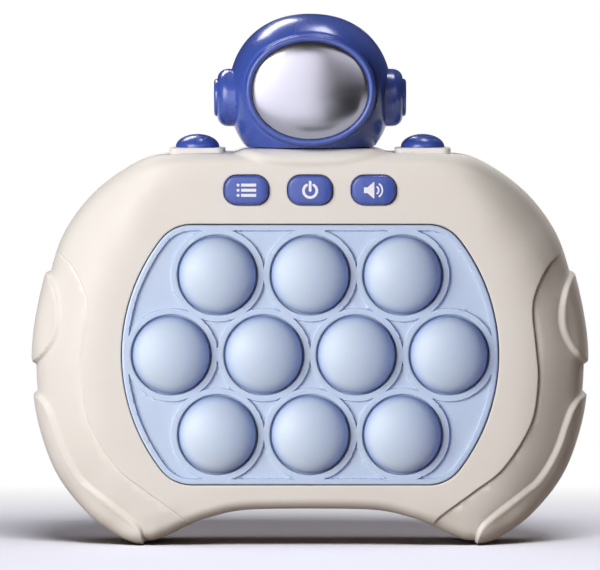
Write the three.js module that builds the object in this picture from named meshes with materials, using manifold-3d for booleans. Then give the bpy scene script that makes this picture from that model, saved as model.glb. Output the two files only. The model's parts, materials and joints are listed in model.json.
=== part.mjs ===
// Hand-held electronic bubble pop game, in millimetres.
// +Z is up, the bubbles face -Y, and the origin is at the centre of the base.
import * as THREE from 'three';
import { mergeVertices } from 'three/addons/utils/BufferGeometryUtils.js';
import Module from 'manifold-3d';

const wasm = await Module();
wasm.setup();

// Fits and cuts
const clearance = 0.3; // between pieces that rest on or run in each other
const overrun = 6; // how far a cut runs past what it cuts

// Body
const bodyWidth = 155; // over the grips' raised leaves
const frontDepth = 18; // parting plane to the front face
const backDepth = 20; // parting plane to the back face
const wall = 2.2;
const seamStep = 1; // the front shell stands this much above the grips
const leafRise = 1.3; // the leaves stand this much above the grips

// Edge roll of the body: how far in from the outline, and how deep
const topRoll = 4.5;
const topRollDepth = 5;
const sideRoll = 19;
const sideRollDepth = 16.5;
const footRoll = 7;
const footRollDepth = 8;
const archRoll = 4;
const archRollDepth = 5;

// Bubble panel: a round window cut off flat above and below
const panelSideMargin = 0.8; // from the end bubbles' rings to the window's round sides
const panelEndMargin = 1; // from the outer rows' rings to the window's flats
const panelCorner = 6;
const footBand = 17; // shell below the window
const topBand = 19.5; // shell above the window, which holds the function buttons
const rimWidth = 2;
const rimRise = 0.5;
const pocketDepth = 1.1;
const flangeWidth = 2.2;
const flangeThickness = 1.3;

// Bubbles
const longestRow = 4; // bubbles
const bubblePitchShare = 0.336; // of the grips' half width
const rowPitchShare = 0.863; // of the bubbles' pitch, as the next two
const bubbleRadiusShare = 0.418;
const ringRadiusShare = 0.5117;
const bubbleRise = 6; // above the front face
const bubbleSkin = 1.5;
const bubbleShoulder = 1; // the straight part under the dome
const skirtLength = 3; // behind the front face

// Retainer plate and main board
const retainerThickness = 1.6;
const retainerHoleSlack = 0.9; // round a bubble
const boardThickness = 1.6;
const boardEdge = 1.5; // the board reaches this far past the window
const boardTabOverhang = 5.7; // past the shoulder buttons' centres
const boardTabDrop = 6.9; // below the shell's top
const boardPostInset = 10.3; // from the window's round sides
const boardPostEndInset = 15.2; // from the window's flats
const boardPostRadius = 2.4;
const boardScrewRadius = 0.9;
const boardScrewHeadRadius = 2;
const boardScrewHeadHeight = 1.2;
const boardScrewLength = 5;
const lampWidth = 3.5;
const lampHeight = 2.8;
const lampThickness = 1.4;
const lampLensRadius = 1.1;
const lampLensRise = 0.5;

// Function buttons
const buttonWidth = 12.6;
const buttonHeight = 8.5;
const buttonCorner = 3.7;
const buttonPitch = 17.6;
const buttonCentreDrop = 10.1; // below the shell's top
const buttonRise = 1.3;
const buttonEdge = 0.5;
const buttonFlange = 1;
const buttonFlangeThickness = 1.2;
const buttonTravel = 0.6;
const buttonStemRadius = 2;
const switchSize = 6;
const switchThickness = 3.4;
const switchKnobRadius = 1.7;
const switchKnobRise = 0.9;
const pressSlack = 0.2; // left between a pressed stem and its switch

// Shoulder buttons
const shoulderOffset = 31.3;
const shoulderRadius = 6.1;
const shoulderRise = 3.7; // the dome above its collar
const shoulderTravel = 1.5;
const shoulderFlange = 1.2;
const shoulderFlangeThickness = 1.2;
const shoulderFlangeDrop = 0.8; // the shell's top falls away over the flange's outer edge
const collarWidth = 15.5;
const collarDepth = 15.5;
const collarRise = 1.25;
const collarCorner = 2.4;

// Saddle under the helmet
const saddleTopHalfWidth = 19.8;
const saddleFootHalfWidth = 23;
const saddleRise = 1.2;
const saddleSetback = 0.7; // behind the front face
const saddleRound = 1.6;
const spigotRadius = 10.5;
const spigotRise = 2;

// Helmet
const helmetHalfWidth = 22.6;
const helmetHalfDepth = 20;
const helmetHalfHeight = 22.3;
const helmetPower = 2.3; // its outline from the front: 2 is an ellipse, more is squarer
const helmetCutOff = 7.4; // the lowest part of its round form, cut away flat above the saddle
const helmetForward = 1; // its centre in front of the parting plane
const helmetWall = 2;
const visorSideInset = 6.6; // from the helmet's widest
const visorFootGap = 2.5; // above the saddle
const visorUp = 1; // its centre above the helmet's
const visorPower = 2.4; // 2 is an ellipse, more is squarer
const visorEdgeThickness = 2.2;
const visorBulge = 3;
const visorSink = 0.9; // the visor's edge behind the lip's front
const visorLedge = 1.5;
const lipWidth = 1.6;
const lipSetback = 1.6; // the lip's front, short of the helmet's half depth
const lipLength = 7;
const lipEdge = 0.7;
const earCupDown = 1; // its centre below the helmet's
const earCupRadius = 8;
const earCupEdge = 2.6;
const earCupStandOff = 3.1; // past the helmet's widest
const earCapRadius = 5.1;
const earCapRise = 1;
const earPegRadius = 2.2;
const earPegLength = 4;

// Case screws
const topScrewShares = [0.656, 0.8448]; // of the grips' half width and of the shell's height
const lowScrewShares = [0.748, 0.349];
const bossRadius = 2.9;
const bossShoulder = 4;
const postRadius = 4.4;
const wellRadius = 3.2;
const wellFloor = 12; // the well's floor, behind the parting plane
const screwRadius = 1.2;
const screwHeadRadius = 2.8;
const screwHeadHeight = 1.8;
const screwReach = 7; // in front of the parting plane

// Battery box and door
const cellRadius = 5.25;
const cellLength = 43.7;
const cellNubRadius = 1.9;
const cellNubLength = 0.8;
const cellGap = 0.6;
const cellCount = 3;
const contactRoom = 2.6;
const contactThickness = 0.5;
const contactWidth = 8;
const contactBumpRadius = 1.6;
const boxSpacing = 1.3; // between the door's frame and the speaker's seat
const boxWall = 2;
const doorThickness = 2;
const doorHalfWidth = 28.5;
const doorHalfHeight = 22.5;
const doorCorner = 4;
const doorFrame = 2; // the box's rim beyond the door
const doorRib = 1;
const doorScrewOffset = 19.6; // above the door's centre
const doorScrewRadius = 1.2;
const doorScrewHeadRadius = 2.4;
const doorScrewHeadHeight = 1.2;
const doorScrewLength = 7;
const cellSlack = 0.35; // round each cell in the box

// Speaker
const speakerRadius = 12.5;
const speakerFrameThickness = 1.6;
const speakerConeDepth = 2.6;
const magnetRadius = 6;
const magnetDepth = 2.4;
const speakerDrop = 19.4; // its centre below the shell's top
const speakerSeatWall = 1.2;
const speakerSeatDepth = 3;
const grilleSlots = 5;
const grillePitch = 3.6;
const grilleSlotHeight = 1.4;
const grilleReach = 10.5; // the slots' ends lie on a circle of this radius

// Fineness of the faces
const outlineFineness = 1; // faces between two points of the body's outline
const rollSteps = 3;
const hollowSteps = 2;
const seamSteps = 20;
const leafSteps = 7;
const roundSteps = 12;
const bubbleSteps = 14;
const holeSteps = 10;
const domeSteps = 4;
const earSteps = 10;
const helmetSteps = 20;
const visorSteps = 20;
const smallSteps = 6;
const turningSteps = 10; // on the door's screw, which turns, and its holes
const barrelSteps = 4; // on the panel's long arcs
const cornerSteps = 2;
const tinySteps = 1; // on the smallest corners

// Places worked out from the sizes above
const gripHalfWidth = bodyWidth / 2 - leafRise;
const bubblePitch = bubblePitchShare * gripHalfWidth;
const bubbleRowPitch = rowPitchShare * bubblePitch;
const bubbleRadius = bubbleRadiusShare * bubblePitch;
const ringRadius = ringRadiusShare * bubblePitch;
const panelRadius = (longestRow - 1) * bubblePitch / 2 + ringRadius + panelSideMargin;
const panelHalfHeight = bubbleRowPitch + ringRadius + panelEndMargin;
const panelHeight = footBand + panelHalfHeight; // the window's centre above the base
const shellHeight = panelHeight + panelHalfHeight + topBand;
const backFace = (frontDepth + backDepth + bubbleRise) / 2;
const partY = backFace - backDepth;
const frontFace = partY - frontDepth;
const innerFront = frontFace + wall;
const innerBack = backFace - wall;
const rimFront = frontFace - rimRise;
const bubbleTravel = bubbleRise - rimRise;
const bubbleHoleRadius = bubbleRadius + clearance;
const flangeFront = innerFront + clearance;
const flangeBack = flangeFront + flangeThickness;
const retainerFront = flangeBack + clearance;
const retainerBack = retainerFront + retainerThickness;
const retainerHoleRadius = bubbleRadius + retainerHoleSlack;
const skirtEnd = frontFace + skirtLength;
const boardFront = skirtEnd + bubbleTravel + lampThickness + clearance;
const boardBack = boardFront + boardThickness;
const boardTabHalfWidth = shoulderOffset + boardTabOverhang;
const boardTabTop = shellHeight - boardTabDrop;
const boardPostX = panelRadius - boardPostInset;
const boardPostOffset = panelHalfHeight - boardPostEndInset; // up and down from the panel's centre
const buttonCentreHeight = shellHeight - buttonCentreDrop;
const collarTop = shellHeight + collarRise;
const saddleTop = shellHeight + saddleRise;
const helmetY = partY - helmetForward;
const helmetBase = saddleTop + clearance;
const helmetCentreHeight = saddleTop + helmetHalfHeight - helmetCutOff;
const visorHalfWidth = helmetHalfWidth - visorSideInset;
const visorCentreHeight = helmetCentreHeight + visorUp;
const visorHalfHeight = visorCentreHeight - saddleTop - visorFootGap;
const lipFront = helmetY - helmetHalfDepth + lipSetback;
const earCupHeight = helmetCentreHeight - earCupDown;
const earCupReach = helmetHalfWidth + earCupStandOff;
const visorEdge = lipFront + visorSink;
const visorBack = visorEdge + visorEdgeThickness;
const doorFront = backFace - doorThickness;
const cellPitch = 2 * cellRadius + cellGap;
const cellY = doorFront - doorRib - clearance - cellRadius;
const boxHalfWidth = cellLength / 2 + cellNubLength / 2 + contactRoom;
const boxHalfHeight = (cellCount - 1) * cellPitch / 2 + cellRadius + cellSlack;
const boxFloor = cellY - cellRadius - cellSlack;
const speakerHeight = shellHeight - speakerDrop;
const speakerSeatFoot = speakerHeight - speakerRadius - speakerSeatWall;
const boxCentreHeight = speakerSeatFoot - boxSpacing - doorFrame - doorHalfHeight;
const topScrewX = topScrewShares[0] * gripHalfWidth;
const topScrewHeight = topScrewShares[1] * shellHeight;
const lowScrewX = lowScrewShares[0] * gripHalfWidth;
const lowScrewHeight = lowScrewShares[1] * shellHeight;
const screwPlaces = [
  [topScrewX, topScrewHeight],
  [-topScrewX, topScrewHeight],
  [lowScrewX, lowScrewHeight],
  [-lowScrewX, lowScrewHeight],
];

// Half of the body's outline, from the top's middle round the grip to the middle of the arch,
// as shares of the grips' half width and of the shell's height
const outlineShares = [
  [0, 1],
  [0.30, 0.9994],
  [0.472, 0.997],
  [0.611, 0.980],
  [0.776, 0.904],
  [0.891, 0.802],
  [0.950, 0.689],
  [0.990, 0.560],
  [1, 0.459],
  [0.986, 0.340],
  [0.941, 0.2296],
  [0.8845, 0.154],
  [0.805, 0.079],
  [0.733, 0.030],
  [0.672, 0],
  [0.580, 0],
  [0.500, 0.0275],
  [0.440, 0.0525],
  [0.370, 0.0715],
  [0.236, 0.091],
  [0, 0.0945],
];

// Where the roll of the edge changes along the half outline
const rollStations = [
  { placeShare: 0, width: topRoll, depth: topRollDepth },
  { placeShare: 0.15, width: topRoll, depth: topRollDepth },
  { placeShare: 0.33, width: sideRoll, depth: sideRollDepth },
  { placeShare: 0.62, width: sideRoll, depth: sideRollDepth },
  { placeShare: 0.76, width: footRoll, depth: footRollDepth },
  { placeShare: 0.8, width: footRoll, depth: footRollDepth },
  { placeShare: 0.87, width: archRoll, depth: archRollDepth },
  { placeShare: 1, width: archRoll, depth: archRollDepth },
];

// The front shell's S-shaped edge, from above the grip down to the arch, in the outline's shares
const seamShares = [
  [1.02, 0.80],
  [0.925, 0.748],
  [0.866, 0.712],
  [0.820, 0.649],
  [0.808, 0.595],
  [0.8215, 0.4995],
  [0.828, 0.420],
  [0.802, 0.312],
  [0.703, 0.201],
  [0.597, 0.1415],
  [0.478, 0.080],
  [0.445, 0.052],
  [0.400, 0],
  [0.370, -0.060],
];

// Inner edges of the grips' raised leaves, from top to bottom, in the outline's shares
const upperLeafShares = [
  [0.960, 0.712],
  [0.940, 0.682],
  [0.9225, 0.643],
  [0.9134, 0.6005],
  [0.917, 0.558],
  [0.936, 0.525],
  [0.9685, 0.497],
  [1.010, 0.462],
];
const lowerLeafShares = [
  [1.010, 0.397],
  [0.966, 0.3747],
  [0.934, 0.3434],
  [0.912, 0.303],
  [0.890, 0.257],
  [0.854, 0.2075],
  [0.815, 0.170],
  [0.770, 0.145],
  [0.7126, 0.114],
  [0.651, 0.080],
  [0.6115, 0.0487],
  [0.593, 0],
];

function surface(colour, roughness, metalness) {
  return new THREE.MeshStandardMaterial({ color: colour, roughness, metalness });
}

const beigePlastic = surface(0xe4dfda, 0.42, 0);
const paleSilicone = surface(0xbccfee, 0.5, 0);
const indigoPlastic = surface(0x4c60b2, 0.35, 0);
const mirrorFilm = surface(0xdfe2e8, 0.08, 1);
const greenLaminate = surface(0x2f6b45, 0.55, 0);
const darkPlastic = surface(0x24262b, 0.5, 0);
const lampPlastic = surface(0xf4f1dc, 0.3, 0);
const steel = surface(0xb9bcc0, 0.3, 1);
const cellSleeve = surface(0x3b3f47, 0.4, 0.2);

// A closed mesh with shared corners, no flat triangles, and its faces pointing out
function closedMesh(geometry) {
  const bare = geometry.clone();
  bare.deleteAttribute('normal');
  bare.deleteAttribute('uv');
  const merged = mergeVertices(bare);
  const places = merged.getAttribute('position').array;
  const index = merged.getIndex().array;
  const corners = [];
  let volume = 0;
  const a = new THREE.Vector3();
  const b = new THREE.Vector3();
  const c = new THREE.Vector3();
  for (let at = 0; at < index.length; at += 3) {
    const [first, second, third] = index.slice(at, at + 3);
    if (first === second || second === third || third === first) continue;
    corners.push([first, second, third]);
    a.fromArray(places, 3 * first);
    b.fromArray(places, 3 * second);
    c.fromArray(places, 3 * third);
    volume += a.dot(b.cross(c));
  }
  const ordered = volume < 0 ? corners.map(([i, j, k]) => [i, k, j]) : corners;
  return { places: new Float32Array(places), corners: new Uint32Array(ordered.flat()) };
}

function solid(geometry) {
  const { places, corners } = closedMesh(geometry);
  return new wasm.Manifold(new wasm.Mesh({ numProp: 3, vertProperties: places, triVerts: corners }));
}

function united(solids) {
  return solids.reduce((whole, next) => whole.add(next));
}

// A named piece from a solid
function piece(name, body, material) {
  const { vertProperties, triVerts } = body.getMesh();
  const geometry = new THREE.BufferGeometry();
  geometry.setAttribute('position', new THREE.Float32BufferAttribute(vertProperties, 3));
  geometry.setIndex(new THREE.Uint32BufferAttribute(triVerts, 1));
  geometry.computeVertexNormals();
  const mesh = new THREE.Mesh(geometry, material);
  mesh.name = name;
  return mesh;
}

// A shape drawn in X and Z, thick along Y
function plate(shape, front, back, steps = cornerSteps) {
  const geometry = new THREE.ExtrudeGeometry(shape, {
    depth: back - front,
    bevelEnabled: false,
    curveSegments: steps,
  });
  geometry.rotateX(Math.PI / 2);
  geometry.translate(0, back, 0);
  return solid(geometry);
}

// The same with a rounded front and back edge
function softPlate(shape, front, back, edge, steps = cornerSteps) {
  const geometry = new THREE.ExtrudeGeometry(shape, {
    depth: back - front - 2 * edge,
    bevelEnabled: true,
    bevelThickness: edge,
    bevelSize: edge,
    bevelOffset: -edge,
    bevelSegments: 2,
    curveSegments: steps,
  });
  geometry.rotateX(Math.PI / 2);
  geometry.translate(0, back - edge, 0);
  return solid(geometry);
}

// A shape drawn in X and Y, thick along Z
function slab(shape, bottom, top, steps = cornerSteps) {
  const geometry = new THREE.ExtrudeGeometry(shape, {
    depth: top - bottom,
    bevelEnabled: false,
    curveSegments: steps,
  });
  geometry.translate(0, 0, bottom);
  return solid(geometry);
}

// A turned piece on an axis along Y: profile points are radius and Y
function turned(profile, x, z, steps = roundSteps) {
  const geometry = new THREE.LatheGeometry(profile.map(([r, y]) => new THREE.Vector2(r, y)), steps);
  geometry.translate(x, 0, z);
  return solid(geometry);
}

// A turned piece on an upright axis: profile points are radius and Z
function turnedUpright(profile, x, y, steps = roundSteps) {
  const geometry = new THREE.LatheGeometry(profile.map(([r, z]) => new THREE.Vector2(r, z)), steps);
  geometry.rotateX(Math.PI / 2);
  geometry.translate(x, y, 0);
  return solid(geometry);
}

// A turned piece on an axis along X: profile points are radius and X
function turnedAcross(profile, y, z, steps = roundSteps) {
  const geometry = new THREE.LatheGeometry(profile.map(([r, x]) => new THREE.Vector2(r, x)), steps);
  geometry.rotateZ(-Math.PI / 2);
  geometry.translate(0, y, z);
  return solid(geometry);
}

function rod(radius, front, back, x, z, steps = roundSteps) {
  return turned([[0, front], [radius, front], [radius, back], [0, back]], x, z, steps);
}

function roundedRectangle(x, y, halfWidth, halfHeight, corner) {
  const shape = new THREE.Shape();
  shape.moveTo(x - halfWidth + corner, y - halfHeight);
  shape.lineTo(x + halfWidth - corner, y - halfHeight);
  shape.absarc(x + halfWidth - corner, y - halfHeight + corner, corner, -Math.PI / 2, 0);
  shape.lineTo(x + halfWidth, y + halfHeight - corner);
  shape.absarc(x + halfWidth - corner, y + halfHeight - corner, corner, 0, Math.PI / 2);
  shape.lineTo(x - halfWidth + corner, y + halfHeight);
  shape.absarc(x - halfWidth + corner, y + halfHeight - corner, corner, Math.PI / 2, Math.PI);
  shape.lineTo(x - halfWidth, y - halfHeight + corner);
  shape.absarc(x - halfWidth + corner, y - halfHeight + corner, corner, Math.PI, 1.5 * Math.PI);
  return shape;
}

// A bar with round ends from one point to another
function stadium(fromX, fromY, toX, toY, radius) {
  const turn = Math.atan2(toY - fromY, toX - fromX);
  const shape = new THREE.Shape();
  shape.absarc(toX, toY, radius, turn - Math.PI / 2, turn + Math.PI / 2);
  shape.absarc(fromX, fromY, radius, turn + Math.PI / 2, turn + 1.5 * Math.PI);
  return shape;
}

// The panel's outline, grown or shrunk all round
function barrel(grow) {
  const radius = panelRadius + grow;
  const half = panelHalfHeight + grow;
  const corner = panelCorner + grow;
  const cornerX = Math.sqrt((radius - corner) ** 2 - (half - corner) ** 2);
  const turn = Math.atan2(half - corner, cornerX);
  const high = panelHeight + half - corner;
  const low = panelHeight - half + corner;
  const shape = new THREE.Shape();
  shape.absarc(0, panelHeight, radius, -turn, turn);
  shape.absarc(cornerX, high, corner, turn, Math.PI / 2);
  shape.absarc(-cornerX, high, corner, Math.PI / 2, Math.PI - turn);
  shape.absarc(0, panelHeight, radius, Math.PI - turn, Math.PI + turn);
  shape.absarc(-cornerX, low, corner, Math.PI + turn, 1.5 * Math.PI);
  shape.absarc(cornerX, low, corner, 1.5 * Math.PI, 2 * Math.PI - turn);
  return shape;
}

// Rings of equally many points, joined from one to the next and closed with flat ends
function loft(rings) {
  const count = rings[0].length;
  const places = rings.flat().flatMap((point) => [point.x, point.y, point.z]);
  const index = [];
  for (let ring = 0; ring + 1 < rings.length; ring += 1) {
    for (let at = 0; at < count; at += 1) {
      const here = ring * count + at;
      const next = ring * count + (at + 1) % count;
      index.push(here, next, here + count, next, next + count, here + count);
    }
  }
  for (const end of [0, rings.length - 1]) {
    const contour = rings[end].map((point) => new THREE.Vector2(point.x, point.z));
    for (const face of THREE.ShapeUtils.triangulateShape(contour, [])) {
      const [i, j, k] = face.map((corner) => end * count + corner);
      index.push(...endFace(rings[end], contour, end === 0, i, j, k));
    }
  }
  const geometry = new THREE.BufferGeometry();
  geometry.setAttribute('position', new THREE.Float32BufferAttribute(places, 3));
  geometry.setIndex(index);
  return solid(geometry);
}

// An end's triangle, turned to match the sides
function endFace(ring, contour, isFirst, i, j, k) {
  const size = ring.length;
  const [a, b, c] = [i, j, k].map((corner) => contour[corner % size]);
  const faceTurn = Math.sign((b.x - a.x) * (c.y - a.y) - (b.y - a.y) * (c.x - a.x));
  const ringTurn = Math.sign(THREE.ShapeUtils.area(contour));
  const along = faceTurn === ringTurn;
  return along === isFirst ? [i, k, j] : [i, j, k];
}

function scaledPoint([xShare, zShare]) {
  return new THREE.Vector2(xShare * gripHalfWidth, zShare * shellHeight);
}

// A smooth curve through the given shares
function smoothCurve(shares) {
  return new THREE.SplineCurve(shares.map(scaledPoint));
}

// The whole outline, with the outward normal at each point and its place on the half outline
function bodyOutline() {
  const steps = (outlineShares.length - 1) * outlineFineness;
  const half = smoothCurve(outlineShares).getPoints(steps);
  const inner = half.slice(1, steps).reverse();
  const points = [...half, ...inner.map((point) => new THREE.Vector2(-point.x, point.y))];
  const lengths = smoothCurve(outlineShares).getLengths(steps);
  return points.map((point, at) => {
    const before = points[(at + points.length - 1) % points.length];
    const after = points[(at + 1) % points.length];
    const along = after.clone().sub(before).normalize();
    const placeShare = lengths[at <= steps ? at : 2 * steps - at] / lengths[steps];
    return { point, normal: new THREE.Vector2(-along.y, along.x), placeShare };
  });
}

function rollAt(placeShare) {
  const after = Math.max(1, rollStations.findIndex((station) => station.placeShare >= placeShare));
  const from = rollStations[after - 1];
  const to = rollStations[after];
  const mix = THREE.MathUtils.smoothstep(placeShare, from.placeShare, to.placeShare);
  return {
    width: THREE.MathUtils.lerp(from.width, to.width, mix),
    depth: THREE.MathUtils.lerp(from.depth, to.depth, mix),
  };
}

// The body's rounded form, grown or shrunk all over, standing on its feet at Z = 0
function bodyForm(grow, front, back, steps) {
  const outline = bodyOutline();
  const ring = (turnShare, side, depth) => outline.map(({ point, normal, placeShare }) => {
    const roll = rollAt(placeShare);
    const turn = turnShare * Math.PI / 2;
    const inset = (roll.width + grow) * (1 - Math.cos(turn));
    const y = partY + side * (depth - roll.depth + (roll.depth + grow) * Math.sin(turn));
    const place = point.clone().addScaledVector(normal, grow - inset);
    return new THREE.Vector3(place.x, y, Math.max(place.y, 0));
  });
  const rings = [];
  for (let step = steps; step >= 0; step -= 1) rings.push(ring(step / steps, -1, front));
  for (let step = 0; step <= steps; step += 1) rings.push(ring(step / steps, 1, back));
  return loft(rings);
}

// The part of space that the front shell takes, grown or shrunk across its edges
function frontZone(grow) {
  const seam = smoothCurve(seamShares).getSpacedPoints(seamSteps);
  const right = seam.map((point, at) => {
    const before = seam[Math.max(at - 1, 0)];
    const after = seam[Math.min(at + 1, seam.length - 1)];
    const along = after.clone().sub(before).normalize();
    return new THREE.Vector2(point.x - along.y * grow, point.y + along.x * grow);
  });
  const left = right.map((point) => new THREE.Vector2(-point.x, point.y)).reverse();
  const side = bodyWidth / 2 + overrun;
  const top = shellHeight + spigotRise + overrun;
  const corners = [new THREE.Vector2(-side, top), new THREE.Vector2(side, top)];
  const back = partY + grow + clearance / 2;
  return plate(new THREE.Shape([...right, ...left, ...corners]), frontFace - overrun, back);
}

// The raised leaves' outlines on both sides
function leafZone() {
  const side = bodyWidth / 2 + overrun;
  const zones = [];
  for (const shares of [upperLeafShares, lowerLeafShares]) {
    const edge = smoothCurve(shares).getSpacedPoints(leafSteps);
    const first = edge[0];
    const last = edge[edge.length - 1];
    const outside = [
      new THREE.Vector2(last.x, last.y - overrun * (shares === lowerLeafShares ? 1 : 0)),
      new THREE.Vector2(side, last.y - overrun * (shares === lowerLeafShares ? 1 : 0)),
      new THREE.Vector2(side, first.y),
    ];
    const right = [...edge, ...outside];
    const left = right.map((point) => new THREE.Vector2(-point.x, point.y));
    zones.push(plate(new THREE.Shape(right), frontFace - overrun, backFace + overrun));
    zones.push(plate(new THREE.Shape(left), frontFace - overrun, backFace + overrun));
  }
  return united(zones);
}

// The rounded platform that carries the helmet, with the spigot that centres it
function saddle() {
  const foot = shellHeight - topRoll;
  const across = new THREE.Shape([
    new THREE.Vector2(-saddleFootHalfWidth, foot),
    new THREE.Vector2(saddleFootHalfWidth, foot),
    new THREE.Vector2(saddleFootHalfWidth, shellHeight),
    new THREE.Vector2(saddleTopHalfWidth, saddleTop),
    new THREE.Vector2(-saddleTopHalfWidth, saddleTop),
    new THREE.Vector2(-saddleFootHalfWidth, shellHeight),
  ]);
  const front = frontFace + saddleSetback;
  const back = backFace - saddleSetback;
  const block = plate(across, front, back);
  const middle = (front + back) / 2;
  const profile = roundedRectangle(middle, saddleTop - topRoll, (back - front) / 2, topRoll, saddleRound);
  const lengthways = new THREE.ExtrudeGeometry(profile, {
    depth: 2 * saddleFootHalfWidth,
    bevelEnabled: false,
    curveSegments: cornerSteps,
  });
  lengthways.rotateY(Math.PI / 2);
  lengthways.rotateX(Math.PI / 2);
  lengthways.translate(-saddleFootHalfWidth, 0, 0);
  const crown = saddleTop + spigotRise;
  const spigot = [[0, foot], [spigotRadius, foot], [spigotRadius, crown], [0, crown]];
  return block.intersect(solid(lengthways)).add(turnedUpright(spigot, 0, helmetY));
}

function collars() {
  return united([-shoulderOffset, shoulderOffset].map((x) => {
    const shape = roundedRectangle(x, partY, collarWidth / 2, collarDepth / 2, collarCorner);
    return slab(shape, shellHeight - topRoll, collarTop, tinySteps);
  }));
}

// Holes that the shoulder buttons run in
function shoulderHoles() {
  const radius = shoulderRadius + clearance;
  const low = shellHeight - wall - overrun;
  const high = collarTop + overrun;
  const profile = [[0, low], [radius, low], [radius, high], [0, high]];
  return united([-shoulderOffset, shoulderOffset].map((x) => turnedUpright(profile, x, partY)));
}

const outerForm = bodyForm(0, frontDepth, backDepth, rollSteps);
const gripForm = bodyForm(0, frontDepth - seamStep, backDepth, rollSteps);
const leafForm = bodyForm(leafRise, frontDepth - seamStep, backDepth - leafRise, rollSteps);
const hollow = bodyForm(-wall, frontDepth, backDepth, hollowSteps);
const gripHollow = bodyForm(-wall, frontDepth - seamStep, backDepth, hollowSteps);
const bossSpace = bodyForm(-wall / 2, frontDepth - seamStep, backDepth, hollowSteps);
const innerGrow = -wall - clearance;
const innerSpace = bodyForm(innerGrow, frontDepth - seamStep, backDepth, hollowSteps);
const topFittings = saddle().add(collars());

function buttonPlaces() {
  return [-1, 0, 1].map((step) => step * buttonPitch);
}

function frontShell() {
  const skin = outerForm.add(topFittings).subtract(hollow);
  const bosses = screwPlaces.map(([x, z]) => {
    const pin = rod(bossRadius, frontFace, partY - clearance / 2, x, z, smallSteps);
    const shoulder = rod(bossShoulder, frontFace, retainerFront - clearance, x, z, smallSteps);
    return pin.add(shoulder).intersect(bossSpace);
  });
  const window = plate(barrel(0), frontFace - overrun, innerFront + overrun, barrelSteps);
  const buttonHoles = buttonPlaces().map((x) => {
    const half = [buttonWidth / 2 + clearance, buttonHeight / 2 + clearance];
    const shape = roundedRectangle(x, buttonCentreHeight, ...half, buttonCorner + clearance);
    return plate(shape, frontFace - overrun, innerFront + overrun);
  });
  const pilots = screwPlaces.map(([x, z]) => {
    const radius = screwRadius + clearance;
    return rod(radius, partY - screwReach - clearance, partY + overrun, x, z, smallSteps);
  });
  return skin.intersect(frontZone(-clearance / 2))
    .subtract(window)
    .add(united(bosses))
    .subtract(united([...buttonHoles, ...pilots, shoulderHoles()]));
}

// The battery box's walls, open to the back
function batteryBox() {
  const outer = roundedRectangle(
    0,
    boxCentreHeight,
    doorHalfWidth + doorFrame,
    doorHalfHeight + doorFrame,
    doorCorner + doorFrame,
  );
  const inner = roundedRectangle(0, boxCentreHeight, boxHalfWidth, boxHalfHeight, cellGap);
  const block = plate(outer, boxFloor - boxWall, innerBack + wall / 2);
  return { block, hole: plate(inner, boxFloor, backFace + overrun) };
}

function doorShape(grow) {
  const half = [doorHalfWidth + grow, doorHalfHeight + grow];
  return roundedRectangle(0, boxCentreHeight, ...half, doorCorner + grow);
}

function speakerSeat() {
  const inner = speakerRadius + clearance;
  const outer = inner + speakerSeatWall;
  const front = innerBack - speakerSeatDepth;
  const back = innerBack + wall / 2;
  const profile = [[inner, front], [outer, front], [outer, back], [inner, back], [inner, front]];
  return turned(profile, 0, speakerHeight);
}

function grilleSlotsCut() {
  const slots = [];
  for (let at = 0; at < grilleSlots; at += 1) {
    const rise = (at - (grilleSlots - 1) / 2) * grillePitch;
    const half = Math.sqrt(grilleReach ** 2 - rise ** 2);
    const round = grilleSlotHeight / 3;
    const shape = roundedRectangle(0, speakerHeight + rise, half, grilleSlotHeight / 2, round);
    slots.push(plate(shape, innerBack - clearance, backFace + overrun, tinySteps));
  }
  return united(slots);
}

function rearShell() {
  const skin = gripForm.add(leafForm.intersect(leafZone())).add(topFittings).subtract(gripHollow);
  const posts = screwPlaces.map(([x, z]) => {
    return rod(postRadius, partY + clearance / 2, backFace, x, z, smallSteps).intersect(bossSpace);
  });
  const wells = screwPlaces.map(([x, z]) => {
    const well = rod(wellRadius, partY + wellFloor, backFace + overrun, x, z, smallSteps);
    return well.add(rod(screwRadius + clearance, partY - overrun, backFace, x, z, smallSteps));
  });
  const box = batteryBox();
  const doorHole = plate(doorShape(clearance), doorFront - clearance, backFace + overrun);
  const doorPilotEnd = doorFront - doorScrewLength;
  const doorPilot = rod(
    doorScrewRadius + clearance,
    doorPilotEnd,
    backFace,
    0,
    boxCentreHeight + doorScrewOffset,
    turningSteps,
  );
  return skin.subtract(frontZone(clearance / 2))
    .add(united([...posts, box.block, speakerSeat()]))
    .subtract(united([...wells, box.hole, doorHole, doorPilot, grilleSlotsCut(), shoulderHoles()]));
}

// Places of the ten bubbles, row by row from the top left
function bubblePlaces() {
  const places = [];
  [3, 4, 3].forEach((count, row) => {
    for (let at = 0; at < count; at += 1) {
      const x = (at - (count - 1) / 2) * bubblePitch;
      places.push([x, panelHeight + (1 - row) * bubbleRowPitch]);
    }
  });
  return places;
}

// The soft sheet: raised rim and rings, sunk pockets, and a flange behind the window's edge
function bubbleSheet() {
  const raisedBack = frontFace + 2 * pocketDepth;
  const inside = barrel(-clearance - rimWidth);
  const web = plate(barrel(-clearance), frontFace + pocketDepth, flangeBack, barrelSteps);
  const rimOuter = plate(barrel(-clearance), rimFront, raisedBack, barrelSteps);
  const rimInner = plate(inside, rimFront - overrun, raisedBack + overrun, barrelSteps);
  const flange = plate(barrel(flangeWidth), flangeFront, flangeBack, barrelSteps);
  const rings = bubblePlaces().map(([x, z]) => {
    return rod(ringRadius, rimFront, raisedBack, x, z, roundSteps).intersect(rimOuter);
  });
  const holes = bubblePlaces().map(([x, z]) => {
    return rod(bubbleHoleRadius, rimFront - overrun, flangeBack + overrun, x, z, bubbleSteps);
  });
  return united([web, rimOuter.subtract(rimInner), flange, ...rings]).subtract(united(holes));
}

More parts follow.
